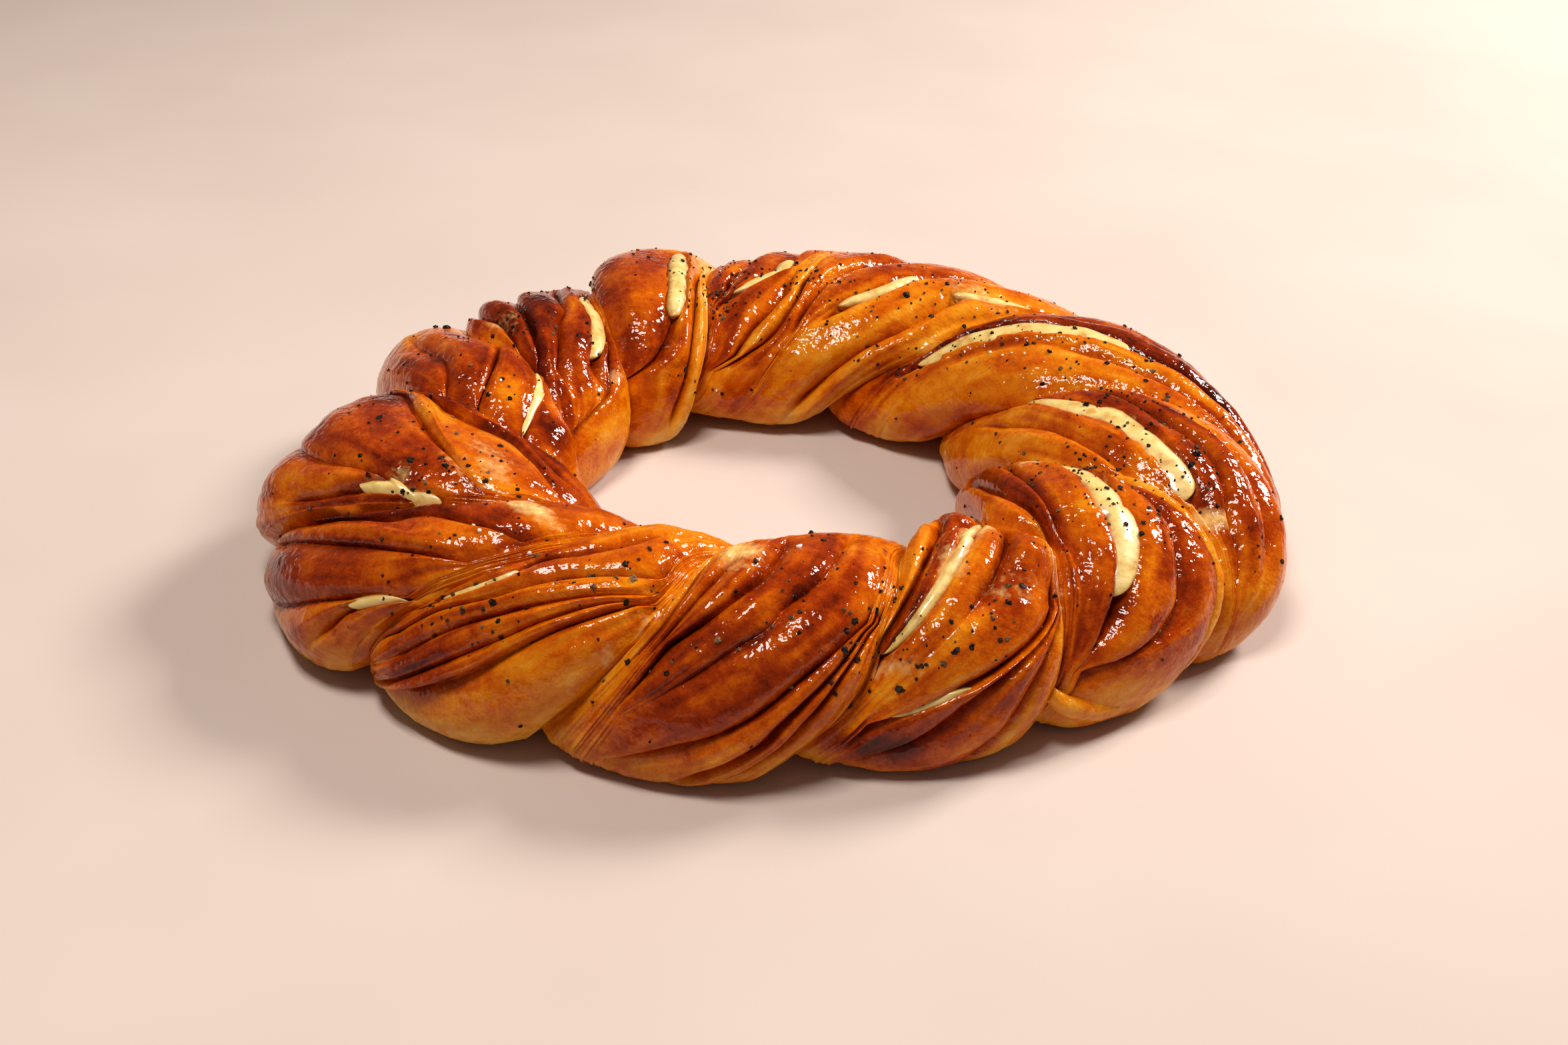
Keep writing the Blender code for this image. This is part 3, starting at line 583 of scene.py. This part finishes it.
def lobe_grid(lobe):
    """Points of a lobe with its tone, paleness and a crease depth that paints shade into the creases."""
    s = np.linspace(0, 1, ROWS)
    t = 0.35 * (1 - np.cos(math.pi * s)) / 2 + 0.65 * s
    psi = ENDS[0] - (ENDS[0] - ENDS[1]) * t
    theta, crease, tone, ridge, across = columns_of(lobe, psi)
    psi = psi[:, None]
    azimuth = azimuth_at(lobe, psi, theta)
    outline = place(lobe, psi, theta, 0.0)
    trough, lip, rim = strip_edges(lobe, psi, theta)
    sink = crease + spots_at(DENTS, lobe, psi, azimuth) + SETTLED + swelling(outline)
    sink = sink + wrinkles(lobe, across, psi) * (1 - 0.6 * rim) - lip
    sink = sink + trough / TROUGH * np.maximum(TROUGH - sink, 0.0)
    spots = place(lobe, psi, theta, sink)
    spots[..., 2] = np.maximum(spots[..., 2], FLOOR_GAP)
    foot = 1 - smooth(spots[..., 2], 2.0, 15.0)
    tone = tone + 0.12 * (ridge - 0.4) + 0.10 * streaks(lobe, across, psi)
    tone = tone + 0.11 * lumps(outline, 11.0, 21) + 0.05 * lumps(outline, 4.0, 23)
    tone = tone + spots_at(TONE_SPOTS, lobe, psi, azimuth) - 0.14 * foot
    pale = spots_at(PALE_SPOTS, lobe, psi, azimuth) * (1 + 0.5 * lumps(outline, 3.5, 25))
    pale = np.clip(pale + 0.25 * rim * (1 + lumps(outline, 2.5, 27)), 0, 1)
    # deep is painted shade: it darkens the crust the deeper a crease is, except at a strip's rim
    return spots, {"tone": tone, "pale": pale, "deep": smooth(crease, 0.4, 3.0) * (1 - rim)}


print("a lobe's grid:", lobe_grid(6)[0].shape)

# %% [markdown]
# ## From grid to mesh
#
# All the dough is made from closed grids, so one function turns a grid into an object: quads along
# the rows, a fan at each end, faces turned outwards by the sign of the volume, and a UV map that
# simply unrolls the grid.

# %% Mesh functions


def linked(name, data):
    """A new object in the scene."""
    thing = bpy.data.objects.new(name, data)
    bpy.context.scene.collection.objects.link(thing)
    return thing


def new_object(name, points, faces, fields, stuff):
    """An object from points in millimetres, with float fields on its vertices."""
    mesh = bpy.data.meshes.new(name)
    mesh.from_pydata((points * MM).tolist(), [], faces, shade_flat=False)
    for field, values in fields.items():
        mesh.attributes.new(field, "FLOAT", "POINT").data.foreach_set("value", values.astype(np.float32))
    mesh.materials.append(stuff)
    return linked(name, mesh)


def grid_object(name, spots, fields, stuff, ring=False):
    """An object from rows of points round it, closed by a fan at each end or on itself as a ring."""
    rows, columns, _ = spots.shape
    steps = rows if ring else rows - 1
    here = np.arange(rows * columns).reshape(rows, columns)
    here = np.concatenate([here, here[:1]])[: steps + 1]
    right = np.roll(here, -1, axis=1)
    quads = np.stack([here[:-1], right[:-1], right[1:], here[1:]], -1).reshape(-1, 4)
    u, v = np.meshgrid(np.arange(columns) / columns, 0.02 + 0.96 * np.arange(steps + 1) / steps)
    flat = np.stack([u, v], -1)
    edge = flat + (1 / columns, 0)
    corner = np.stack([flat[:-1], edge[:-1], edge[1:], flat[1:]], 2).reshape(-1, 4, 2)
    points = spots.reshape(-1, 3)
    filled = {key: values.reshape(-1) for key, values in fields.items()}
    fans, tips = np.zeros((0, 3), int), np.zeros((0, 3, 2))
    if not ring:
        points = np.concatenate([points, spots[[0, -1]].mean(1)])
        filled = {key: np.concatenate([filled[key], fields[key][[0, -1]].mean(1)]) for key in fields}
        first, last = (np.full(columns, rows * columns + n) for n in (0, 1))
        fans = np.concatenate([
            np.stack([first, right[0], here[0]], -1), np.stack([last, here[-1], right[-1]], -1)])
        middle = (flat[0] + (0.5 / columns, 0)) * (1, 0)
        tips = np.concatenate([
            np.stack([middle, edge[0], flat[0]], 1), np.stack([middle + (0, 1), flat[-1], edge[-1]], 1)])
    triangles = np.concatenate([quads[:, :3], quads[:, [0, 2, 3]], fans])
    a, b, c = points[triangles.T]
    if (a * np.cross(b, c)).sum() < 0:  # the faces look inwards
        quads, fans, corner, tips = quads[:, ::-1], fans[:, ::-1], corner[:, ::-1], tips[:, ::-1]
    thing = new_object(name, points, quads.tolist() + fans.tolist(), filled, stuff)
    layer = thing.data.uv_layers.new(name="OFBake")
    layer.data.foreach_set("uv", np.concatenate([corner.reshape(-1), tips.reshape(-1)]).astype(np.float32))
    return thing


print("grid functions ready")

# %% [markdown]
# ## The glazed crust
#
# Egg wash and sugar leave a hard, clear gloss over a matt crust. That is a Principled shader with
# a coat that mirrors the window, and the base below keeps its colour. Node trees are long to write
# out, so a small class adds, sets and links a node in one call.

# %% Node helpers


def linear(red, green, blue):
    """A display colour of 0 to 255 as scene-linear values."""
    return tuple((c / 255) ** 2.2 for c in (red, green, blue)) + (1.0,)


class Nodes:
    """A short way to write node trees."""

    def __init__(self, name):
        self.stuff = bpy.data.materials.new(name)
        self.stuff.use_nodes = True
        self.tree = self.stuff.node_tree
        self.shader = self.tree.nodes["Principled BSDF"]

    def add(self, kind, inputs=(), **settings):
        """Adds a node, sets it, and links or sets its inputs by number or name."""
        node = self.tree.nodes.new("ShaderNode" + kind)
        for key, value in settings.items():
            setattr(node, key, value)
        for key, value in dict(inputs).items():
            self.set(node, key, value)
        return node

    def set(self, node, key, value):
        if isinstance(value, bpy.types.NodeSocket):
            self.tree.links.new(value, node.inputs[key])
        else:
            node.inputs[key].default_value = value

    def noise(self, size, detail=3.0, rough=0.5):
        """Noise with features of about this size in millimetres."""
        place = self.add("TexCoord").outputs["Object"]
        return self.add("TexNoise", {"Vector": place, "Scale": 1 / (size * MM), "Detail": detail,
                                     "Roughness": rough}).outputs["Fac"]

    def uneven(self, size, detail=3.0):
        """Noise about 0."""
        return self.add("Math", {0: self.noise(size, detail), 1: 0.5}, operation="SUBTRACT").outputs[0]

    def between(self, value, low, high):
        """A value of 0 to 1 moved to low to high."""
        return self.add("MapRange", {0: value, 3: low, 4: high}).outputs[0]

    def sum(self, a, b, scale=1.0):
        """a plus b times scale."""
        return self.add("Math", {0: b, 1: scale, 2: a}, operation="MULTIPLY_ADD").outputs[0]

    def field(self, name):
        return self.add("Attribute", attribute_name=name).outputs["Fac"]

    def ramp(self, value, stops):
        node = self.add("ValToRGB", {0: value})
        for _ in stops[2:]:
            node.color_ramp.elements.new(0.5)
        for element, (spot, colour) in zip(node.color_ramp.elements, stops):
            element.position = spot
            element.color = colour
        return node.outputs[0]

    def mix(self, share, a, b):
        return self.add("Mix", {0: share, 6: a, 7: b}, data_type="RGBA").outputs[2]

    def bump(self, height, strength, deep, below=None):
        inputs = {"Height": height, "Strength": strength, "Distance": deep * MM}
        if below is not None:
            inputs["Normal"] = below
        return self.add("Bump", inputs).outputs[0]

    def finish(self, **values):
        for key, value in values.items():
            self.set(self.shader, key.replace("_", " "), value)
        return self.stuff


print("a pale crust:", [round(c, 2) for c in linear(234, 190, 108)[:3]])

# %% [markdown]
# ### Browning
#
# The colour is a ramp over the tone, from pale dough over amber and chestnut to nearly black, and
# noise of three sizes mottles it. The deep creases are darkened along the ramp, a painted shade.
# Pores and blisters are bump on the base. The coat has a smoother bump of its own, because fine
# bumps there would dull the gloss.

# %% Crust
BROWNING = (
    (0.00, linear(234, 190, 108)),
    (0.18, linear(230, 160, 54)),
    (0.36, linear(216, 124, 20)),
    (0.52, linear(192, 86, 4)),
    (0.68, linear(148, 50, 2)),
    (0.84, linear(94, 27, 2)),
    (1.00, linear(46, 18, 4)),
)


def crust_material():
    made = Nodes("glazed_crust")
    tone = made.field("tone")
    for size, amount in ((9.0, 0.34), (2.4, 0.26), (0.7, 0.18)):
        tone = made.sum(tone, made.uneven(size), amount)
    # the crease depth raises the tone: painted shade that darkens the creases
    colour = made.ramp(made.sum(tone, made.field("deep"), 0.16), BROWNING)
    crumb = made.ramp(made.noise(1.6, 4.0), ((0.3, linear(222, 164, 84)), (0.7, linear(242, 208, 138))))
    bare = made.sum(made.field("pale"), made.uneven(1.8, 4.0), 0.9)
    bare = made.ramp(bare, ((0.28, (0, 0, 0, 1)), (0.95, (1, 1, 1, 1))))
    colour = made.mix(bare, colour, crumb)
    pits = made.add("TexVoronoi", {"Vector": made.add("TexCoord").outputs["Object"], "Scale": 420.0},
                    feature="SMOOTH_F1").outputs["Distance"]
    normal = made.bump(pits, 0.5, 0.3)
    normal = made.bump(made.noise(1.3, 5.0, 0.6), 0.8, 0.5, normal)
    rough = made.between(made.noise(3.0), 0.40, 0.60)
    coat = made.between(bare, 0.80, 0.20)
    gloss = made.bump(made.noise(1.1, 1.0), 0.5, 0.22, made.bump(made.noise(2.8, 1.5), 0.9, 0.7))
    return made.finish(Base_Color=colour, Roughness=rough, Normal=normal, Coat_Weight=coat,
                       Coat_Roughness=0.04, Coat_IOR=1.40, Specular_IOR_Level=0.0,
                       Coat_Normal=gloss, Subsurface_Weight=0.06, Subsurface_Scale=0.003)


crust = crust_material()
print("crust stops:", len(BROWNING))

# %% [markdown]
# ## Lobes, core and the ply at the foot
#
# Twelve lobes stand for the dough, with a plain ring of dough inside them that closes the
# underside. One thin ply of lobe 5 has slipped down and wraps its foot like a cord: a tube along a
# curve through a table.

# %% Foot ply
FOOT_PLY = (  # psi, azimuth and depth of its middle, and its radius
    (92, -29.5, 7.0, 1.6), (80, -30.3, 6.0, 2.6), (60, -31.8, 5.0, 3.0), (40, -33.3, 4.5, 3.2),
    (20, -35, 4.0, 3.3), (5, -37.5, 3.5, 3.3), (-8, -41, 3.0, 3.3), (-13, -46, 2.5, 3.3),
    (-15, -50, 2.0, 3.2), (-12, -54.5, 2.0, 3.0), (-4, -58, 3.0, 2.6), (3, -59.5, 5.0, 1.8),
)


def foot_ply_grid(rows=160, sides=28):
    table = np.array(FOOT_PLY)
    steps = np.linspace(0, len(table) - 1, rows)
    psi, azimuth, depth, radius = (through(-steps, -np.arange(len(table)), c) for c in table.T)
    middle = envelope(azimuth, psi, depth)
    out = envelope(azimuth, psi, depth - 1.0) - middle
    side = np.cross(np.gradient(middle, axis=0), out)
    out /= np.linalg.norm(out, axis=1, keepdims=True)
    side /= np.linalg.norm(side, axis=1, keepdims=True)
    turn = np.linspace(0, 2 * math.pi, sides, endpoint=False)[None, :, None]
    around_it = np.cos(turn) * out[:, None] + np.sin(turn) * side[:, None]
    spots = middle[:, None] + radius[:, None, None] * around_it
    push = spots - middle[:, None]
    spots = spots + push * 0.06 * lumps(spots, 3.0, 43)[..., None]
    spots[..., 2] = np.maximum(spots[..., 2], 0.1)
    return spots


print("points of the foot ply:", foot_ply_grid().shape[:2])

# %% Dough


def dough_piece(name, spots, fields, ring=False):
    """A piece of crust that stands for the dough."""
    piece = grid_object(name, spots, fields, crust, ring)
    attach(piece, "root")
    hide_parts("dough")
    return piece


def flat_fields(spots, tone):
    """The same tone all over, with no pale spots and no painted crease shade."""
    none = np.zeros(spots.shape[:2])
    return {"tone": tone + 0.08 * lumps(spots, 6.0, 41), "pale": none, "deep": none}


def core_grid():
    azimuth = np.arange(0, 360, 2.5)[:, None]
    psi = np.arange(0, 360, 9.0)[None, :]
    spots = envelope(azimuth, psi, CORE_DEEP)
    spots[..., 2] = np.maximum(spots[..., 2], 0.0)
    return spots


dough = [dough_piece(f"crust_lobe_{lobe:02d}", *lobe_grid(lobe)) for lobe in range(1, 13)]
grid = core_grid()
dough_piece("crust_core", grid, flat_fields(grid, 0.5), True)
grid = foot_ply_grid()
dough.append(dough_piece("crust_foot_ply", grid, flat_fields(grid, 0.33)))
print("crust faces:", sum(len(piece.data.polygons) for piece in dough))

# %% [markdown]
# ## The custard
#
# Each strip is a soft, slightly wavy bolster of custard between the lips of its trough. It keeps
# the place and size of its solid. Set custard is smooth, pale yellow and a little moist, with a
# darker, drier line where it touched the hot crust.

# %% Custard
CUSTARD_TONES = (
    (0.32, linear(204, 150, 76)), (0.46, linear(226, 188, 104)), (0.66, linear(236, 205, 132)),
)


def custard_material():
    made = Nodes("custard")
    base = made.ramp(made.noise(4.0, 4.0), CUSTARD_TONES)
    edge = made.sum(made.field("edge"), made.uneven(1.6), 0.8)
    edge = made.ramp(edge, ((0.22, (0, 0, 0, 1)), (0.80, (1, 1, 1, 1))))
    colour = made.mix(edge, base, linear(178, 122, 56))
    normal = made.bump(made.noise(1.1, 4.0), 0.5, 0.25)
    return made.finish(Base_Color=colour, Roughness=0.45, Normal=normal, Coat_Weight=0.7,
                       Coat_Roughness=0.10, Subsurface_Weight=0.15, Subsurface_Scale=0.004)


def custard_grid(lobe, crease, start, end, half, swelling, rows=90, top=17):
    """Points round a strip and how near they are to its edge."""
    t = np.linspace(-1, 1, rows)
    psi = (start + end) / 2 - (start - end) / 2 * np.sin(t * math.pi / 2)
    theta = crease_lines(lobe, psi)[crease + 1][0]
    line = place(lobe, psi, theta, 0.0)
    run = np.gradient(line, axis=0)
    run /= np.linalg.norm(run, axis=1, keepdims=True)
    beside = place(lobe, psi, theta + STEP, 0.0) - line
    across = beside - (beside * run).sum(1, keepdims=True) * run
    step = STEP / np.linalg.norm(across, axis=1)
    taper = np.sqrt(np.clip(1 - np.abs(t) ** 6, 0.01, 1))
    uneven = 1.14 + 0.16 * noise(t * half * 1.3, 0 * t, 0 * t + lobe, 55) + swelling * t
    wide = strip_half(t, half) * taper * uneven
    share = np.concatenate([np.linspace(-1, 1, top), (0.92, 0.6, 0.0, -0.6, -0.92)])
    sink = np.concatenate([1.0 + 1.3 * np.linspace(-1, 1, top) ** 2, (3.0, 4.2, 4.6, 4.2, 3.0)])
    upper = np.arange(len(share)) < top
    sink = sink[None, :] + (1 - taper)[:, None] * 1.6 * (2.7 - sink[None, :]) / 1.9
    turn = theta[:, None] + (wide * step)[:, None] * share
    flat = place(lobe, psi[:, None], turn, sink)
    waves = 0.22 * lumps(flat, 4.0, 51) + 0.12 * lumps(flat, 1.5, 53)
    spots = place(lobe, psi[:, None], turn, sink + (waves + 0.1) * upper)
    return spots, {"edge": np.abs(share) ** 2.4 + 0 * sink}


custard = custard_material()
strips = []
for number, strip in enumerate(FILLINGS, 1):
    grid, fields = custard_grid(*strip, SWELLING.get(number, 0.0))
    piece = grid_object(f"custard_{number:02d}", grid, fields, custard)
    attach(piece, "root")
    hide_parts(f"filling_{number:02d}")
    strips.append(piece)
print(len(strips), "pieces of custard")

# %% [markdown]
# ## Crushed pepper and salt
#
# The ring is strewn with crushed pepper and a little salt. The largest grains sit where the solid
# has them, drawn by the same rule from the same seed.

# %% Grains of the solid
PEPPER = (  # psi, azimuth, how many
    (78, -40, 4), (103, -35, 2), (64, -42, 3), (97, -21.5, 3), (71, -23.5, 4), (58, -28, 3),
    (41, -19.5, 2), (27, -28, 2), (62, -60, 3), (51, -67, 3), (38, -68, 3), (28, -77, 4),
    (60, -77, 2), (46, -80, 4), (33, -83, 2), (64, -88, 2), (36, -103, 2), (75, -111, 2),
    (66, -111, 2), (50, -123, 3), (30, -133.5, 2), (98, -143, 5), (86, -145, 3), (86, -157, 2),
    (112, 109, 5), (160, 131, 2), (101, 84, 3), (105, 79, 3), (94, 54, 3), (156, 46, 2),
    (112, 19, 3), (77, 5, 3), (98, -8, 3), (121, -177, 3), (103, -169, 3), (131, -204, 3),
    (100, -198, 4), (85, 38, 3),
)
SEED = 7
GRAIN_GAP = 3.6


def crust_point(lobe, psi, theta):
    """A point on a lobe's plies, as the solid has it."""
    psi, theta = np.array([[psi], [theta]], float)
    lines = crease_lines(lobe, psi)
    sink = np.zeros(1)
    for (ta, da), (tb, db) in zip(lines[:-1], lines[1:]):
        u = (theta - ta) / (tb - ta)
        share = np.clip(u, 0.0, 1.0)
        depth = da * (1 - share) + db * share
        sink = np.where((u >= 0) & (u <= 1), depth * (1 - ply_profile(share)), sink)
    sink = sink + spots_at(DENTS, lobe, psi, azimuth_at(lobe, psi, theta))
    return place(lobe, psi, theta, sink)[0]


def lobe_at(psi, azimuth):
    """The lobe that shows at a place on the ring, and the section angle there."""
    for lobe in range(1, 13):
        before, after = (edge[0] for edge in seams(lobe, np.array([psi])))
        for turn in (0, 360, -360):
            if after <= azimuth + turn < before:
                return lobe, turn_at((azimuth + turn - after) / (before - after))
    return None


def solid_grains(blocked):
    """Middles and radii of the grains that the solid has."""
    rng = np.random.default_rng(SEED)
    made = []
    for psi, azimuth, count in PEPPER:
        for _ in range(count):
            at = psi + rng.normal(0, 5.0)
            where = lobe_at(at, azimuth + rng.normal(0, 2.5))
            size = rng.uniform(0.8, 1.25) * rng.uniform(0.8, 1.2, 3)
            if where is None:
                continue
            spot = crust_point(where[0], at, where[1])
            others = [np.linalg.norm(spot - m) for m, _ in made]
            if min([np.linalg.norm(blocked - spot, axis=1).min()] + others) > GRAIN_GAP and spot[2] > 8:
                made.append((spot, size))
    return made


blocked = np.array([v.co[:] for number in range(1, len(FILLINGS) + 1)
                    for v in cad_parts[f"filling_{number:02d}"].data.vertices]) / MM
large = solid_grains(blocked)
print("grains of the solid:", len(large))

# %% [markdown]
# ### Small grains
#
# The small ones are dropped: a ray is sent down on the ring at a random place, and the grain lands
# where it hits the finely modelled crust, which no formula for the ring's surface would find.

# %% Dropped grains
TOP = solid_high[2] / MM - 0.1  # no grain reaches above the solid
FINE_PEPPER = 1300
ON_CUSTARD = (  # psi, azimuth, how much of the fine pepper
    (104, -32, 22), (92, -37, 12), (70, -43, 6), (98, -4, 12), (80, -13, 12), (66, -24, 10), (128, 30, 6),
    (100, 18, 6), (110, 108, 20), (90, 102, 12), (104, 82, 6), (92, -60, 6), (88, -198, 6), (40, -130, 4),
)
SALT = ((82, -131, 5), (79, -125.5, 4), (103, -169, 6), (78, -41, 4), (120, 20, 5), (95, 100, 5))
FINE_SALT = 40

points, faces = [], []
for piece in dough + strips:
    start = len(points)
    points += [v.co for v in piece.data.vertices]
    faces += [[v + start for v in face.vertices] for face in piece.data.polygons]
surface = BVHTree.FromPolygons(points, faces)


def landed(azimuth, psi):
    """Where a dropped grain lands, in millimetres, and the direction out of the crust."""
    high, low = envelope(azimuth, psi, -30.0), envelope(azimuth, psi, 10.0)
    start, way = Vector(high * MM), Vector(low - high).normalized()
    spot, normal, _, _ = surface.ray_cast(start, way, 0.08)
    if spot is None or spot.z < 6 * MM:
        return None
    return np.array(spot) / MM, np.array(normal if normal.dot(way) < 0 else -normal)


def dropped(rng, table, spread, fine, radius):
    """Grains round the places of a table, and a fine scatter over the whole ring."""
    places = [(a, p) for p, a, count in table for _ in range(count)]
    made = []
    while len(made) < fine:
        azimuth, psi = rng.uniform(0, 360), rng.normal(85, 38)
        if rng.uniform() < 0.55:
            azimuth, psi = np.array(places[rng.integers(len(places))]) + rng.normal(0, 1, 2) * spread
        size = radius * rng.lognormal(0, 0.35) * rng.uniform(0.7, 1.3, 3)
        hit = landed(azimuth, psi)
        if hit is not None and -15 < psi < 190 and hit[0][2] + 1.6 * size.max() < TOP:
            made.append((hit[0] + hit[1] * size.min() * 0.35, size, hit[1]))
    return made


print("surface for the grains:", len(faces), "faces")

# %% [markdown]
# ### Grains as meshes
#
# A grain is a small uneven ball, stretched and turned at random and pressed flatter on the crust.
# All the grains of a kind are one mesh.

# %% Grain meshes
PRESSED = 0.35  # how much thinner a grain is across the crust


def unit_ball(level):
    """Points and faces of a small ball."""
    work = bmesh.new()
    bmesh.ops.create_icosphere(work, subdivisions=level, radius=1.0)
    work.verts.ensure_lookup_table()
    ball = np.array([v.co[:] for v in work.verts]), [[v.index for v in f.verts] for f in work.faces]
    work.free()
    return ball


def turned(rng):
    """A random rotation matrix."""
    q = rng.normal(size=4)
    q /= np.linalg.norm(q)
    cross = np.cross(q[1:], np.eye(3)).T
    return np.eye(3) + 2 * q[0] * cross + 2 * cross @ cross


def scattered(name, grains, level, rough, seed, stuff):
    """One mesh of many irregular grains, each a middle, radii and a direction out."""
    rng = np.random.default_rng(seed)
    ball, ball_faces = unit_ball(level)
    points, faces, shades = [], [], []
    for middle, radii, out in grains:
        shape = ball * rng.uniform(1 - rough, 1 + rough / 2, (len(ball), 1)) * radii @ turned(rng).T
        shape = shape - PRESSED * (shape @ out)[:, None] * out
        faces += [[v + len(points) * len(ball) for v in face] for face in ball_faces]
        points.append(middle + shape)
        shades.append(np.full(len(ball), rng.uniform()))
    piece = new_object(name, np.concatenate(points), faces, {"shade": np.concatenate(shades)}, stuff)
    piece.data.shade_flat()
    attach(piece, "root")
    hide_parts("dough")
    return piece


print("points of a grain of pepper:", len(unit_ball(2)[0]))

# %% [markdown]
# ### Finishes
#
# Crushed pepper is matt, from black husk to pale inside. Salt is bright, and light goes a little
# way into it. A field gives each grain its shade.

# %% Pepper and salt
PEPPER_TONES = (
    (0.0, linear(20, 15, 13)), (0.5, linear(42, 28, 22)),
    (0.8, linear(92, 60, 38)), (1.0, linear(166, 134, 96)),
)


def pepper_material():
    made = Nodes("crushed_pepper")
    colour = made.ramp(made.field("shade"), PEPPER_TONES)
    colour = made.mix(made.noise(0.5), colour, linear(30, 20, 16))
    return made.finish(Base_Color=colour, Roughness=0.55, Normal=made.bump(made.noise(0.3), 0.6, 0.1),
                       Specular_IOR_Level=0.15)


def salt_material():
    made = Nodes("salt")
    colour = made.ramp(made.field("shade"), ((0.0, linear(236, 226, 210)), (1.0, linear(250, 246, 238))))
    return made.finish(Base_Color=colour, Roughness=made.between(made.noise(0.4), 0.1, 0.4),
                       Subsurface_Weight=0.3, Subsurface_Scale=0.002)


grains = []
for spot, size in large:
    near, normal, _, _ = surface.find_nearest(Vector(spot * MM))
    middle = np.array(near) / MM
    middle[2] = min(middle[2], TOP - size.max())
    grains.append((middle, size * 0.8, np.array(normal)))
rng = np.random.default_rng(11)
grains += dropped(rng, PEPPER + ON_CUSTARD, (4.5, 8.0), FINE_PEPPER, 0.38)
pepper = scattered("pepper", grains, 2, 0.5, 3, pepper_material())
specks = dropped(rng, SALT, (3.0, 5.0), FINE_SALT, 0.40)
salt = scattered("salt", specks, 1, 0.25, 5, salt_material())
print("pepper faces:", len(pepper.data.polygons), "salt faces:", len(salt.data.polygons))

# %% [markdown]
# ## Floor
#
# A pale warm floor runs far beyond the ring. It belongs to the picture, not to the model.

# %% Floor
made = Nodes("studio_floor")
tint = made.ramp(made.noise(120.0, 2.0), ((0.3, linear(200, 180, 168)), (0.7, linear(205, 187, 175))))
floor_mesh = bpy.data.meshes.new("floor")
corners = [(x, y, -0.0001) for x, y in ((-3, -3), (3, -3), (3, 3), (-3, 3))]
floor_mesh.from_pydata(corners, [], [(0, 1, 2, 3)])
floor_mesh.materials.append(made.finish(Base_Color=tint, Roughness=0.85, Specular_IOR_Level=0.2))
floor = linked("floor", floor_mesh)
print("floor:", [round(c, 1) for c in floor.dimensions])

# %% [markdown]
# ## Lights
#
# A large window on the right is the main light, a softer one above and in front draws the gloss on
# the front lobes, and the world fills the shadows.

# %% Lights


def area_light(name, energy, size, spot, target, colour):
    lamp = bpy.data.lights.new(name, "AREA")
    lamp.shape = "RECTANGLE"
    lamp.energy, lamp.color = energy, colour
    lamp.size, lamp.size_y = size
    thing = linked(name, lamp)
    thing.location = spot
    thing.rotation_euler = (Vector(target) - Vector(spot)).to_track_quat("-Z", "Y").to_euler()


area_light("window", 28.0, (0.42, 0.38), (1.02, 0.62, 0.92), (0, 0, 0.02), (1.0, 0.97, 0.94))
area_light("top", 8.0, (0.36, 0.22), (-0.16, -0.18, 1.0), (0, 0, 0.02), (1.0, 0.97, 0.93))
world = bpy.data.worlds.new("studio")
bpy.context.scene.world = world
world.use_nodes = True
sky = world.node_tree.nodes["Background"]
sky.inputs["Color"].default_value = (1.0, 0.94, 0.87, 1.0)
sky.inputs["Strength"].default_value = 0.14
bpy.context.scene.view_settings.view_transform = "Standard"

# %% [markdown]
# ## Camera
#
# The camera stands in front and looks down at about 32 degrees. Its axes are given outright,
# which keeps its slight roll.

# %% Camera
RIGHT = Vector((0.99977438, 0.00813535, 0.01962166))
UP = Vector((-0.02094658, 0.5309478, 0.84714561))
AHEAD = Vector((0.00352625, 0.84736548, -0.53099841))
BACK, HIGH = 456.8, 0.2779  # millimetres in front of the ring's middle, metres above the floor
camera_data = bpy.data.cameras.new("camera")
camera_data.sensor_width = 36.0
camera_data.lens = 40.56
camera_data.clip_start = 0.01
camera = linked("camera", camera_data)
turn = Matrix((RIGHT, UP, -AHEAD)).transposed().to_4x4()
camera.matrix_world = Matrix.Translation((SHIFT[0] * MM, (SHIFT[1] - BACK) * MM, HIGH)) @ turn
bpy.context.scene.camera = camera
print("camera at", [round(c, 3) for c in camera.location])
